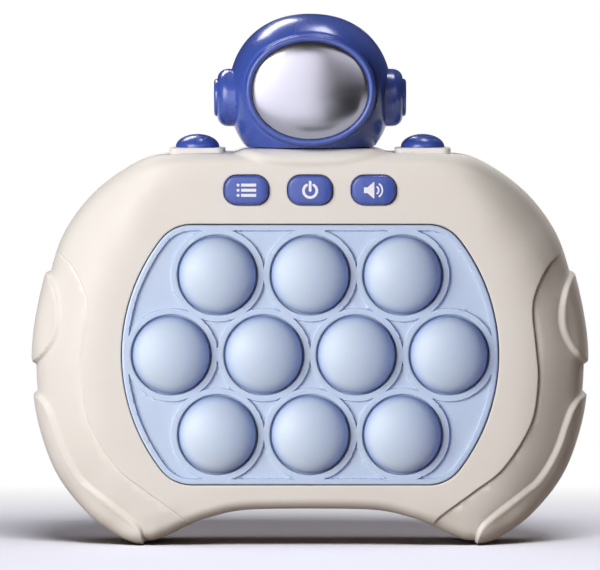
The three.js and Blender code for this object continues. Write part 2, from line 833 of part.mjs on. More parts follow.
// A bubble: a thin dome on a short skirt
function bubble(x, z) {
  const top = frontFace - bubbleRise;
  const base = frontFace - bubbleShoulder;
  const rise = base - top;
  const inside = bubbleRadius - bubbleSkin;
  const profile = [];
  for (let step = 0; step <= domeSteps; step += 1) {
    const turn = step * Math.PI / (2 * domeSteps);
    profile.push([bubbleRadius * Math.sin(turn), base - rise * Math.cos(turn)]);
  }
  profile.push([bubbleRadius, skirtEnd]);
  profile.push([inside, skirtEnd]);
  for (let step = domeSteps; step >= 0; step -= 2) {
    const turn = step * Math.PI / (2 * domeSteps);
    profile.push([inside * Math.sin(turn), base - (rise - bubbleSkin) * Math.cos(turn)]);
  }
  return turned(profile, x, z, bubbleSteps);
}

// Plate behind the sheet, with ears on the four bosses and posts for the board
function retainerPlate() {
  const base = plate(barrel(flangeWidth), retainerFront, retainerBack, barrelSteps);
  const ears = screwPlaces.map(([x, z]) => {
    const postX = Math.sign(x) * boardPostX;
    const postZ = panelHeight + Math.sign(z - panelHeight) * boardPostOffset;
    return plate(stadium(postX, postZ, x, z, bossRadius + wall), retainerFront, retainerBack);
  });
  const posts = postPlaces().map(([x, z]) => {
    return rod(boardPostRadius, retainerFront, boardFront - clearance, x, z, smallSteps);
  });
  const bossHoles = screwPlaces.map(([x, z]) => {
    return rod(bossRadius + clearance, retainerFront - overrun, retainerBack + overrun, x, z, smallSteps);
  });
  const pilots = postPlaces().map(([x, z]) => {
    const end = boardBack - boardScrewLength - clearance;
    return rod(boardScrewRadius + clearance, end, boardBack, x, z, smallSteps);
  });
  const bubbleHoles = bubblePlaces().map(([x, z]) => {
    return rod(retainerHoleRadius, retainerFront - overrun, retainerBack + overrun, x, z, holeSteps);
  });
  return united([base, ...ears])
    .intersect(innerSpace)
    .subtract(united([...bossHoles, ...bubbleHoles]))
    .add(united(posts))
    .subtract(united(pilots));
}

function postPlaces() {
  const places = [];
  for (const side of [-1, 1]) {
    for (const level of [-1, 1]) {
      places.push([side * boardPostX, panelHeight + level * boardPostOffset]);
    }
  }
  return places;
}

function mainBoard() {
  const base = plate(barrel(boardEdge), boardFront, boardBack, barrelSteps);
  const tabHalf = (boardTabTop - panelHeight) / 2;
  const tabShape = roundedRectangle(0, panelHeight + tabHalf, boardTabHalfWidth, tabHalf, panelCorner);
  const tab = plate(tabShape, boardFront, boardBack);
  const holes = postPlaces().map(([x, z]) => {
    return rod(boardScrewRadius + clearance, boardFront - overrun, boardBack + overrun, x, z, smallSteps);
  });
  return base.add(tab).intersect(innerSpace).subtract(united(holes));
}

// A screw on an axis along Y, its head towards the back
function screw(radius, headRadius, headHeight, tip, seat, x, z, steps = smallSteps) {
  const profile = [
    [0, tip],
    [radius, tip + radius],
    [radius, seat],
    [headRadius, seat],
    [headRadius, seat + headHeight / 2],
    [headRadius / 2, seat + headHeight],
    [0, seat + headHeight],
  ];
  return turned(profile, x, z, steps);
}

function boardScrew(x, z) {
  const seat = boardBack + clearance;
  const tip = boardBack - boardScrewLength;
  return screw(boardScrewRadius, boardScrewHeadRadius, boardScrewHeadHeight, tip, seat, x, z);
}

function caseScrew(x, z) {
  const seat = partY + wellFloor + clearance;
  return screw(screwRadius, screwHeadRadius, screwHeadHeight, partY - screwReach, seat, x, z);
}

function lamp(x, z) {
  const back = boardFront - clearance;
  const front = back - lampThickness + clearance;
  const across = lampWidth / 2;
  const up = lampHeight / 2;
  const body = block(x - across, x + across, front, back, z - up, z + up);
  return body.add(rod(lampLensRadius, front - lampLensRise, back, x, z, smallSteps));
}

// A function button: rounded cap, flange behind the wall, and a stem towards its switch
function functionButton(x) {
  const cap = roundedRectangle(x, buttonCentreHeight, buttonWidth / 2, buttonHeight / 2, buttonCorner);
  const flangeHalf = [buttonWidth / 2 + buttonFlange, buttonHeight / 2 + buttonFlange];
  const flange = roundedRectangle(x, buttonCentreHeight, ...flangeHalf, buttonCorner);
  const flangeY = innerFront + clearance;
  const stemEnd = switchFront() - buttonTravel - pressSlack;
  const flangeEnd = flangeY + buttonFlangeThickness;
  return softPlate(cap, frontFace - buttonRise, flangeEnd, buttonEdge)
    .add(plate(flange, flangeY, flangeEnd))
    .add(rod(buttonStemRadius, flangeY, stemEnd, x, buttonCentreHeight, smallSteps));
}

function switchFront() {
  return boardFront - clearance - switchThickness - switchKnobRise;
}

function functionSwitch(x) {
  const back = boardFront - clearance;
  const half = switchSize / 2;
  const body = block(
    x - half,
    x + half,
    back - switchThickness,
    back,
    buttonCentreHeight - half,
    buttonCentreHeight + half,
  );
  return body.add(rod(switchKnobRadius, switchFront(), back, x, buttonCentreHeight, smallSteps));
}

// Levels of the shoulder buttons' flange and switch, from the shell's inner top downwards
const shoulderFlangeTop = shellHeight - wall - clearance - shoulderFlangeDrop;
const shoulderFlangeBottom = shoulderFlangeTop - shoulderFlangeThickness;
const shoulderSwitchTop = shoulderFlangeBottom - shoulderTravel - pressSlack;
const shoulderSwitchY = boardBack + clearance + switchSize / 2;

function shoulderButton(x) {
  const base = collarTop + clearance;
  const rise = collarTop + shoulderRise - base;
  const profile = [[0, shoulderFlangeBottom]];
  profile.push([shoulderRadius + shoulderFlange, shoulderFlangeBottom]);
  profile.push([shoulderRadius + shoulderFlange, shoulderFlangeTop]);
  profile.push([shoulderRadius, shoulderFlangeTop]);
  for (let step = 0; step <= domeSteps; step += 1) {
    const turn = step * Math.PI / (2 * domeSteps);
    profile.push([shoulderRadius * Math.cos(turn), base + rise * Math.sin(turn)]);
  }
  return turnedUpright(profile, x, partY);
}

function shoulderSwitch(x) {
  const half = switchSize / 2;
  const bodyTop = shoulderSwitchTop - switchKnobRise;
  const low = bodyTop - switchThickness;
  const body = block(x - half, x + half, shoulderSwitchY - half, shoulderSwitchY + half, low, bodyTop);
  const radius = switchKnobRadius;
  const knob = [[0, low], [radius, low], [radius, shoulderSwitchTop], [0, shoulderSwitchTop]];
  return body.add(turnedUpright(knob, x, shoulderSwitchY, smallSteps));
}

function speaker() {
  const back = innerBack - clearance;
  const frame = back - speakerFrameThickness;
  const cone = frame - speakerConeDepth;
  const rim = speakerRadius - speakerFrameThickness;
  const profile = [
    [0, cone - magnetDepth],
    [magnetRadius, cone - magnetDepth],
    [magnetRadius, cone],
    [rim, frame],
    [speakerRadius, frame],
    [speakerRadius, back],
    [rim, back],
    [magnetRadius / 2, frame],
    [0, frame],
  ];
  return turned(profile, 0, speakerHeight);
}

// A cell on an axis along X, its nub towards the given side
function cell(side, z) {
  const half = cellLength / 2;
  const shift = -side * cellNubLength / 2;
  const edge = cellNubLength;
  const profile = [
    [0, side * -half + shift],
    [cellRadius - edge, side * -half + shift],
    [cellRadius, side * (edge - half) + shift],
    [cellRadius, side * (half - edge) + shift],
    [cellRadius - edge, side * half + shift],
    [cellNubRadius, side * half + shift],
    [cellNubRadius, side * (half + cellNubLength) + shift],
    [0, side * (half + cellNubLength) + shift],
  ];
  return turnedAcross(profile, cellY, z, smallSteps * 2);
}

function cellHeight(at) {
  return boxCentreHeight + (1 - at) * cellPitch;
}

// A contact plate against one end of the box, touching the cells from one to another
function contact(side, fromCell, toCell) {
  const middle = (cellHeight(fromCell) + cellHeight(toCell)) / 2;
  const tall = Math.abs(cellHeight(fromCell) - cellHeight(toCell)) + contactWidth;
  const outer = boxHalfWidth - clearance;
  const inner = outer - contactThickness;
  const plateBox = new THREE.BoxGeometry(contactThickness, contactWidth, tall);
  plateBox.translate(side * (outer + inner) / 2, cellY, middle);
  const parts = [solid(plateBox)];
  const cellEnd = cellLength / 2 + cellNubLength / 2 + clearance;
  for (const at of new Set([fromCell, toCell])) {
    const profile = [
      [0, side * outer],
      [2 * contactBumpRadius, side * inner],
      [contactBumpRadius, side * cellEnd],
      [0, side * cellEnd],
    ];
    parts.push(turnedAcross(profile, cellY, cellHeight(at), smallSteps));
  }
  return united(parts);
}

// The door lies on the box's rim; two ribs behind it hold the cells
function batteryDoor() {
  const panel = plate(doorShape(0), doorFront, backFace);
  const ribs = [-1, 1].map((side) => {
    const x = side * cellLength / 4;
    const shape = roundedRectangle(x, boxCentreHeight, doorRib, boxHalfHeight - 2 * clearance, clearance);
    return plate(shape, doorFront - doorRib, doorFront + doorRib, tinySteps);
  });
  const hole = rod(
    doorScrewRadius + clearance,
    doorFront - overrun,
    backFace + overrun,
    0,
    boxCentreHeight + doorScrewOffset,
    turningSteps,
  );
  const sink = rod(
    doorScrewHeadRadius + clearance,
    backFace - doorScrewHeadHeight,
    backFace + overrun,
    0,
    boxCentreHeight + doorScrewOffset,
    turningSteps,
  );
  return united([panel, ...ribs]).subtract(hole).subtract(sink);
}

function doorScrew() {
  const seat = backFace - doorScrewHeadHeight + clearance / 2;
  const tip = doorFront - doorScrewLength + clearance;
  const head = doorScrewHeadHeight - clearance;
  const height = boxCentreHeight + doorScrewOffset;
  return screw(doorScrewRadius, doorScrewHeadRadius, head, tip, seat, 0, height, turningSteps);
}

function helmetForm(grow) {
  const form = new THREE.SphereGeometry(1, helmetSteps, helmetSteps / 2);
  const place = form.attributes.position;
  for (let at = 0; at < place.count; at += 1) {
    const x = place.getX(at);
    const z = place.getZ(at);
    const across = Math.hypot(x, z) || 1;
    const power = Math.abs(x / across) ** helmetPower + Math.abs(z / across) ** helmetPower;
    const share = power > 0 ? power ** (-1 / helmetPower) : 1;
    place.setXYZ(at, x * share, place.getY(at), z * share);
  }
  form.scale(helmetHalfWidth + grow, helmetHalfDepth + grow, helmetHalfHeight + grow);
  form.translate(0, helmetY, helmetCentreHeight);
  return solid(form);
}

function block(lowX, highX, lowY, highY, lowZ, highZ) {
  const geometry = new THREE.BoxGeometry(highX - lowX, highY - lowY, highZ - lowZ);
  geometry.translate((lowX + highX) / 2, (lowY + highY) / 2, (lowZ + highZ) / 2);
  return solid(geometry);
}

// The visor's rounded outline, grown or shrunk all round
function visorPoints(grow) {
  const points = [];
  for (let step = 0; step < visorSteps; step += 1) {
    const turn = step * 2 * Math.PI / visorSteps;
    const x = Math.sign(Math.cos(turn)) * Math.abs(Math.cos(turn)) ** (2 / visorPower);
    const z = Math.sign(Math.sin(turn)) * Math.abs(Math.sin(turn)) ** (2 / visorPower);
    const height = visorCentreHeight + z * (visorHalfHeight + grow);
    points.push(new THREE.Vector2(x * (visorHalfWidth + grow), height));
  }
  return points;
}

function helmetSkin() {
  const side = helmetHalfWidth + overrun;
  const bottom = helmetBase - 2 * helmetHalfHeight;
  const low = block(-side, side, helmetY - side, helmetY + side, bottom, helmetBase);
  const radius = earPegRadius + clearance;
  const pegHole = [[0, -side], [radius, -side], [radius, side], [0, side]];
  return helmetForm(0).subtract(helmetForm(-helmetWall)).subtract(low)
    .subtract(turnedAcross(pegHole, helmetY, earCupHeight, smallSteps));
}

function helmetFront() {
  const side = helmetHalfWidth + overrun;
  const top = helmetCentreHeight + side;
  const behind = block(-side, side, helmetY - clearance / 2, helmetY + side, helmetBase - overrun, top);
  const grow = lipWidth + clearance;
  const recessOutline = new THREE.Shape(visorPoints(clearance));
  const lip = softPlate(new THREE.Shape(visorPoints(grow)), lipFront, lipFront + lipLength, lipEdge);
  const recess = plate(recessOutline, lipFront - overrun, visorBack + clearance);
  const opening = plate(new THREE.Shape(visorPoints(-visorLedge)), lipFront - overrun, helmetY - overrun);
  return helmetSkin().subtract(behind).add(lip).subtract(recess).subtract(opening);
}

function helmetRear() {
  const side = helmetHalfWidth + overrun;
  const top = helmetCentreHeight + side;
  const ahead = block(-side, side, helmetY - side, helmetY + clearance / 2, helmetBase - overrun, top);
  return helmetSkin().subtract(ahead);
}

// The visor: a flat back and a bulging front
function visor() {
  const outline = visorPoints(0);
  const ring = (share, y) => outline.map((point) => {
    const z = visorCentreHeight + (point.y - visorCentreHeight) * share;
    return new THREE.Vector3(point.x * share, y, z);
  });
  const rings = [ring(1, visorBack)];
  for (let step = 0; step < domeSteps; step += 1) {
    const turn = step * Math.PI / (2 * domeSteps);
    rings.push(ring(Math.cos(turn), visorEdge - visorBulge * Math.sin(turn)));
  }
  return loft(rings);
}

// A stepped round cup on the helmet's side, with a peg through its wall
function earCup(side) {
  const seat = helmetHalfWidth - 2 * helmetWall;
  const profile = [
    [0, side * seat],
    [earCupRadius, side * seat],
    [earCupRadius, side * (earCupReach - earCupEdge)],
    [earCupRadius - earCupEdge / 3, side * (earCupReach - earCupEdge / 3)],
    [earCupRadius - earCupEdge, side * earCupReach],
    [earCapRadius, side * earCupReach],
    [earCapRadius, side * (earCupReach + earCapRise / 2)],
    [earCapRadius - earCapRise / 2, side * (earCupReach + earCapRise)],
    [0, side * (earCupReach + earCapRise)],
  ];
  const pegEnd = helmetHalfWidth + clearance;
  const peg = [
    [0, side * (pegEnd - earPegLength)],
    [earPegRadius, side * (pegEnd - earPegLength)],
    [earPegRadius, side * (pegEnd + earCapRise)],
    [0, side * (pegEnd + earCapRise)],
  ];
  return turnedAcross(profile, helmetY, earCupHeight, earSteps)
    .subtract(helmetForm(clearance))
    .add(turnedAcross(peg, helmetY, earCupHeight, smallSteps));
}

const game = new THREE.Group();

function addHousing() {
  game.add(piece('front_shell', frontShell(), beigePlastic));
  game.add(piece('rear_shell', rearShell(), beigePlastic));
  screwPlaces.forEach(([x, z], at) => game.add(piece(`case_screw_${at + 1}`, caseScrew(x, z), steel)));
}

function addPanel() {
  game.add(piece('bubble_sheet', bubbleSheet(), paleSilicone));
  game.add(piece('retainer_plate', retainerPlate(), darkPlastic));
  game.add(piece('main_board', mainBoard(), greenLaminate));
  bubblePlaces().forEach(([x, z], at) => {
    game.add(piece(`bubble_${at + 1}`, bubble(x, z), paleSilicone));
    game.add(piece(`led_${at + 1}`, lamp(x, z), lampPlastic));
  });
  postPlaces().forEach(([x, z], at) => game.add(piece(`board_screw_${at + 1}`, boardScrew(x, z), steel)));
}

function addButtons() {
  ['menu', 'power', 'sound'].forEach((name, at) => {
    const x = buttonPlaces()[at];
    game.add(piece(`${name}_button`, functionButton(x), indigoPlastic));
    game.add(piece(`${name}_switch`, functionSwitch(x), darkPlastic));
  });
  for (const [name, x] of [['left', -shoulderOffset], ['right', shoulderOffset]]) {
    game.add(piece(`shoulder_button_${name}`, shoulderButton(x), indigoPlastic));
    game.add(piece(`shoulder_switch_${name}`, shoulderSwitch(x), darkPlastic));
  }
}

function addPower() {
  game.add(piece('speaker', speaker(), darkPlastic));
  [1, -1, 1].forEach((side, at) => {
    game.add(piece(`battery_${at + 1}`, cell(side, cellHeight(at)), cellSleeve));
  });
  game.add(piece('contact_minus', contact(-1, 0, 0), steel));
  game.add(piece('contact_bridge_right', contact(1, 0, 1), steel));
  game.add(piece('contact_bridge_left', contact(-1, 1, 2), steel));
  game.add(piece('contact_plus', contact(1, 2, 2), steel));
  game.add(piece('battery_door', batteryDoor(), beigePlastic));
  game.add(piece('battery_door_screw', doorScrew(), steel));
}

function addHelmet() {
  game.add(piece('helmet_front', helmetFront(), indigoPlastic));
  game.add(piece('helmet_rear', helmetRear(), indigoPlastic));
  game.add(piece('visor', visor(), mirrorFilm));
  game.add(piece('ear_cup_left', earCup(-1), indigoPlastic));
  game.add(piece('ear_cup_right', earCup(1), indigoPlastic));
}

addHousing();
addPanel();
addButtons();
addPower();
addHelmet();

export default game;
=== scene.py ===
import json
from math import cos, pi, radians, sin, sqrt

import bmesh
import bpy
import numpy as np
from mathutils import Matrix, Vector
from mathutils.geometry import delaunay_2d_cdt

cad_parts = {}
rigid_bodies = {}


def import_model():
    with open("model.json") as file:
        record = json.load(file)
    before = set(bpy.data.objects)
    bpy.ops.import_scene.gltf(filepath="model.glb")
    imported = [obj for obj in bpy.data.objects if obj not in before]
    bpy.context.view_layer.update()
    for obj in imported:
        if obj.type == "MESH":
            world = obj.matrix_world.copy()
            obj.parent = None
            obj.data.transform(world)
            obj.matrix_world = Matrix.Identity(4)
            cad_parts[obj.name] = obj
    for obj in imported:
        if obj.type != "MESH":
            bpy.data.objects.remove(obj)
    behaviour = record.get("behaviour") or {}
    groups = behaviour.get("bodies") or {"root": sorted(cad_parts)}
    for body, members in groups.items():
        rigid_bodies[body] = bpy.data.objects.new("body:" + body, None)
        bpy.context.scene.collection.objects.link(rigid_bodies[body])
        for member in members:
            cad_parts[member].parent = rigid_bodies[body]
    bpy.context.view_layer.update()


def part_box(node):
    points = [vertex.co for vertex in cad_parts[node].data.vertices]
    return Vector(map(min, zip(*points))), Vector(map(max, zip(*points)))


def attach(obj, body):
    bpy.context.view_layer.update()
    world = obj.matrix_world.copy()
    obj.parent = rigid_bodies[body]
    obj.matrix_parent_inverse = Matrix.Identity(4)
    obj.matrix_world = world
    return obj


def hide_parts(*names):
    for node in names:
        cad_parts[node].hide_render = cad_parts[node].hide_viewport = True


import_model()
scene = bpy.context.scene
mm = 0.001
chunk = 4000  # points worked on at once
touching = 0.01  # how near to a curve, in mm, counts as on it

# Helpers


def newPiece(name, bm, bodyName, finish, replaced=(), sharpAngle=38):
    # finish is the name of the slot, which is not used, and the material
    slotName, material = finish
    bmesh.ops.scale(bm, vec=(mm, mm, mm), verts=bm.verts)
    mesh = bpy.data.meshes.new(name)
    bm.to_mesh(mesh)
    bm.free()
    mesh.polygons.foreach_set("use_smooth", [True] * len(mesh.polygons))
    mesh.set_sharp_from_angle(angle=radians(sharpAngle))
    mesh.materials.append(material)
    piece = bpy.data.objects.new(name, mesh)
    scene.collection.objects.link(piece)
    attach(piece, bodyName)
    if replaced:
        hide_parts(*replaced)
    return piece


def smoothCurve(points, count):
    # uniform Catmull-Rom through the points
    p = np.array(points, float)
    p = np.vstack([p[0], p, p[-1]])
    at = np.linspace(0, len(points) - 1, count + 1)
    first = np.minimum(at.astype(int), len(points) - 2)
    t = (at - first)[:, None]
    a, b, c, d = (p[first + step] for step in range(4))
    slopeB, slopeC = (c - a) / 2, (d - b) / 2
    return ((2 * b - 2 * c + slopeB + slopeC) * t ** 3
            + (3 * c - 3 * b - 2 * slopeB - slopeC) * t ** 2 + slopeB * t + b)


def evenly(points, spacing):
    # the same curve with points at an even spacing
    p = np.array(points, float)
    lengths = np.concatenate([[0], np.cumsum(np.linalg.norm(np.diff(p, axis=0), axis=1))])
    places = np.linspace(0, lengths[-1], max(2, int(round(lengths[-1] / spacing)) + 1))
    return np.stack([np.interp(places, lengths, p[:, 0]), np.interp(places, lengths, p[:, 1])], 1)


def mirrored(points):
    return np.array(points, float) * [-1, 1]


def offsetCurve(points, distance, closed=False):
    # moves each point to its left by the distance
    p = np.array(points, float)
    if closed:
        along = np.roll(p, -1, 0) - np.roll(p, 1, 0)
    else:
        along = np.gradient(p, axis=0)
    along /= np.linalg.norm(along, axis=1)[:, None]
    return p + np.stack([-along[:, 1], along[:, 0]], 1) * distance


def nearest(points, curve, closed=True):
    # for each point: the distance to the curve and the place along it
    p = np.array(points, float)
    a = np.array(curve, float)
    b = np.roll(a, -1, 0) if closed else a[1:]
    a = a if closed else a[:-1]
    edge = b - a
    squared = np.maximum((edge ** 2).sum(1), 1e-12)
    away, place = np.empty(len(p)), np.empty(len(p))
    for start in range(0, len(p), chunk):
        q = p[start:start + chunk]
        t = (((q[:, None] - a) * edge).sum(2) / squared).clip(0, 1)
        feet = a + t[..., None] * edge
        gaps = ((q[:, None] - feet) ** 2).sum(2)
        best = gaps.argmin(1)
        rows = np.arange(len(q))
        away[start:start + chunk] = np.sqrt(gaps[rows, best])
        place[start:start + chunk] = best + t[rows, best]
    return away, place


def inside(points, loop):
    p = np.array(points, float)
    a = np.array(loop, float)
    b = np.roll(a, -1, 0)
    result = np.zeros(len(p), bool)
    for start in range(0, len(p), chunk):
        x, z = p[start:start + chunk, 0:1], p[start:start + chunk, 1:2]
        crosses = (a[:, 1] > z) != (b[:, 1] > z)
        rise = np.where(b[:, 1] == a[:, 1], 1, b[:, 1] - a[:, 1])
        left = x < (b[:, 0] - a[:, 0]) * (z - a[:, 1]) / rise + a[:, 0]
        result[start:start + chunk] = (crosses & left).sum(1) % 2 == 1
    return result


def signedInside(points, loop):
    # distance to the loop, more than 0 inside it
    away = nearest(points, loop)[0]
    return np.where(inside(points, loop), away, -away)


def insideAll(loops, holes=()):
    # a test for points inside every loop and outside every hole
    def keep(points):
        kept = np.ones(len(points), bool)
        for loop in loops:
            kept &= inside(points, loop)
        for hole in holes:
            kept &= ~inside(points, hole)
        return kept
    return keep


def gridPoints(xs, zs):
    x, z = np.meshgrid(xs, zs)
    return np.stack([x.ravel(), z.ravel()], 1)


def circleLoop(x, z, radius, count):
    turn = np.arange(count) * 2 * pi / count
    return np.stack([x + radius * np.cos(turn), z + radius * np.sin(turn)], 1)


def roundedLoop(x, z, halfWidth, halfHeight, corner, steps=10):
    turns = np.linspace(0, pi / 2, steps + 1)
    points = []
    for quarter, (signX, signZ) in enumerate([(1, 1), (-1, 1), (-1, -1), (1, -1)]):
        for turn in turns + quarter * pi / 2:
            points.append([x + signX * (halfWidth - corner) + corner * cos(turn),
                           z + signZ * (halfHeight - corner) + corner * sin(turn)])
    return np.array(points)


def dense(loop, spacing):
    closed = np.vstack([loop, loop[:1]])
    return evenly(closed, spacing)[:-1]


def bothSides(steps):
    return [-step for step in steps] + list(steps)


def edgeRows(loop, widths, closed=True):
    # points beside a curve, at the given distances to its left
    return [offsetCurve(loop, width, closed) for width in widths]


region = dict(clear=0.03, cell=0.015, tolerance=1e-4)


def filledRegion(loops, lines, rows, loose, keep, clearOf=0.8):
    # a flat mesh with an edge along every loop and line; rows run beside the edges, and the loose points
    # fill what is left
    curves = [(loop, True) for loop in loops] + [(line, False) for line in lines]
    fixed = []
    edges = []
    for points, closed in curves:
        start = len(fixed)
        fixed += [tuple(point) for point in points]
        last = len(points) if closed else len(points) - 1
        edges += [(start + at, start + (at + 1) % len(points)) for at in range(last)]
    loose = np.vstack(loose)
    for points, closed in curves[1:]:
        loose = loose[nearest(loose, points, closed)[0] > clearOf]
    loose = np.vstack(rows + [loose])
    for points, closed in curves:
        loose = loose[nearest(loose, points, closed)[0] > region["clear"]]
    cells = np.round(loose / region["cell"]).astype(int)
    loose = loose[np.unique(cells, axis=0, return_index=True)[1]]
    everything = [Vector(point) for point in fixed + list(loose)]
    result = delaunay_2d_cdt(everything, edges, [], 0, region["tolerance"])
    places = np.array([tuple(v) for v in result[0]])
    faces = np.array([face[:] for face in result[2]])
    return places, faces[keep(places[faces].mean(1))]


def reliefMesh(places, faces, surface, front=True):
    # gives the flat mesh its depth; its faces run anticlockwise seen from -Y, so they look that way in front
    bm = bmesh.new()
    points = surface(places)
    used = np.unique(faces)
    made = {at: bm.verts.new(points[at]) for at in used}
    for a, b, c in faces:
        order = (a, b, c) if front else (a, c, b)
        bm.faces.new([made[at] for at in order])
    return bm


def walled(bm, moveTo):
    # extrudes every open edge and moves the new ring where moveTo says
    rim = [edge for edge in bm.edges if edge.is_boundary]
    made = bmesh.ops.extrude_edge_only(bm, edges=rim)["geom"]
    ring = [part for part in made if isinstance(part, bmesh.types.BMVert)]
    targets = moveTo(np.array([vert.co[:] for vert in ring]))
    for vert, target in zip(ring, targets):
        vert.co = target
    return ring


def thickened(piece, thickness):
    wall = piece.modifiers.new("wall", "SOLIDIFY")
    wall.thickness = thickness * mm
    wall.offset = -1


def turnedForm(profile, centre, axis, steps):
    # spins a profile of (radius, place along the axis) all the way round
    bm = bmesh.new()
    directions = {"x": ((0, 0, 1), (1, 0, 0)), "y": ((1, 0, 0), (0, 1, 0)), "z": ((1, 0, 0), (0, 0, 1))}
    across, along = [Vector(direction) for direction in directions[axis]]
    verts = [bm.verts.new(across * radius + along * place) for radius, place in profile]
    edges = [bm.edges.new(pair) for pair in zip(verts, verts[1:])]
    bmesh.ops.spin(bm, geom=verts + edges, cent=(0, 0, 0), axis=along, angle=2 * pi, steps=steps,
                   use_merge=True)
    bmesh.ops.remove_doubles(bm, verts=bm.verts, dist=1e-4)
    bmesh.ops.recalc_face_normals(bm, faces=bm.faces)
    bmesh.ops.translate(bm, vec=centre, verts=bm.verts)
    return bm


def joined(*forms):
    # puts several bmeshes into the first one
    whole = forms[0]
    for form in forms[1:]:
        spare = bpy.data.meshes.new("spare")
        form.to_mesh(spare)
        form.free()
        whole.from_mesh(spare)
        bpy.data.meshes.remove(spare)
    return whole


def arc(centre, radius, start, end, steps):
    # points (radius, place) on an arc, with angles in degrees
    turns = [radians(start + (end - start) * at / steps) for at in range(steps + 1)]
    return [(centre[0] + radius * cos(turn), centre[1] + radius * sin(turn)) for turn in turns]


def roundSteps(count, across, along):
    # a quarter round in steps: how far in from the side and how far under the top
    turns = [at * pi / 2 / count for at in range(count + 1)]
    return [(across * (1 - cos(turn)), along * (1 - sin(turn))) for turn in turns]


def plateForm(loop, front, back, edge, segments=3):
    # a plate whose shape lies in X-Z, with its front edges rounded
    bm = bmesh.new()
    verts = [bm.verts.new((x, back, z)) for x, z in loop]
    base = bm.faces.new(verts)
    made = bmesh.ops.extrude_face_region(bm, geom=[base])["geom"]
    top = [part for part in made if isinstance(part, bmesh.types.BMVert)]
    bmesh.ops.translate(bm, vec=(0, front - back, 0), verts=top)
    bmesh.ops.recalc_face_normals(bm, faces=bm.faces)
    rim = [e for e in bm.edges if all(v in top for v in e.verts)]
    bmesh.ops.bevel(bm, geom=rim, offset=edge, affect="EDGES", segments=segments, profile=0.5, material=-1)
    return bm


# The body's form: outline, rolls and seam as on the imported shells, with softer leaves and leaning grips

body = dict(
    gripHalfWidth=76.2, height=108.9, partY=2, frontDepth=18, backDepth=20, seamStep=0.8, leafRise=1.3,
    seamRound=0.28, holeRound=0.35, leafRamp=0.8, rampGrowth=0.9, gripLean=1.7, gripReach=8, gripRim=9,
    leafLean=2.4, leafReach=5, rampFrom=1.5, rampOver=6, blur=2.2, blurFrom=1.5, blurOver=4, partGap=0.1,
    wallThickness=1.3, openingDepth=2.2, gripUnder=0.6, snap=1.5, smallest=0.02,
    # half of the outline, from the top's middle to the middle of the arch, as shares of width and height
    outline=[(0, 1), (0.30, 0.9994), (0.472, 0.997), (0.611, 0.980), (0.776, 0.904), (0.891, 0.802),
             (0.950, 0.689), (0.990, 0.560), (1, 0.459), (0.986, 0.340), (0.941, 0.2296), (0.8845, 0.154),
             (0.803, 0.088), (0.737, 0.051), (0.682, 0.0275), (0.640, 0.0155), (0.604, 0.0098),
             (0.570, 0.0115), (0.540, 0.0185), (0.500, 0.030), (0.440, 0.0525), (0.370, 0.0715),
             (0.236, 0.091), (0, 0.0945)],
    # how far in the edge's roll reaches and how deep it is: place along the half outline, width, depth
    rolls=[(0, 4.5, 5), (0.15, 4.5, 5), (0.33, 19, 16.5), (0.56, 19, 16.5), (0.66, 16.5, 15),
           (0.74, 11.5, 11.5), (0.78, 8, 9), (0.81, 7, 8), (0.87, 4, 5), (1, 4, 5)],
    seam=[(1.02, 0.80), (0.925, 0.748), (0.866, 0.712), (0.820, 0.649), (0.808, 0.595), (0.8215, 0.4995),
          (0.828, 0.420), (0.802, 0.312), (0.703, 0.201), (0.597, 0.1415), (0.478, 0.080), (0.445, 0.052),
          (0.400, 0), (0.370, -0.060)],
    upperLeaf=[(0.960, 0.712), (0.936, 0.682), (0.913, 0.643), (0.900, 0.600), (0.902, 0.556),
               (0.921, 0.519), (0.955, 0.487), (1.010, 0.450)],
    lowerLeaf=[(1.010, 0.397), (0.966, 0.3747), (0.934, 0.3434), (0.912, 0.303), (0.890, 0.257),
               (0.854, 0.2075), (0.815, 0.170), (0.770, 0.145), (0.7126, 0.114), (0.651, 0.080),
               (0.6115, 0.0487), (0.593, 0)])

shares = np.array([body["gripHalfWidth"], body["height"]])
halfOutline = evenly(smoothCurve(np.array(body["outline"]) * shares, 400), 1.0)
outline = np.vstack([halfOutline, mirrored(halfOutline[1:-1][::-1])])
outline[:, 1] = outline[:, 1].clip(0)
halfSteps = len(halfOutline) - 1


def eases(t):
    t = t.clip(0, 1)
    return t * t * (3 - 2 * t)


def rollAt(place):
    # the roll's width and depth at a place along the outline's points
    share = np.where(place <= halfSteps, place, 2 * halfSteps - place)
    lengths = np.concatenate([[0], np.cumsum(np.linalg.norm(np.diff(halfOutline, axis=0), axis=1))])
    share = np.interp(share, np.arange(halfSteps + 1), lengths / lengths[-1])
    stations = np.array(body["rolls"])
    after = np.searchsorted(stations[:, 0], share, side="left").clip(1, len(stations) - 1)
    low, high = stations[after - 1], stations[after]
    t = eases((share - low[:, 0]) / (high[:, 0] - low[:, 0]))
    return low[:, 1] + (high[:, 1] - low[:, 1]) * t, low[:, 2] + (high[:, 2] - low[:, 2]) * t


outlineNormals = offsetCurve(outline, -1, closed=True) - outline
if (outlineNormals[len(outline) // 8] * outline[len(outline) // 8]).sum() < 0:
    outlineNormals = -outlineNormals


gridLow = np.array([-90, -12])
gridHigh = np.array([90, 120])


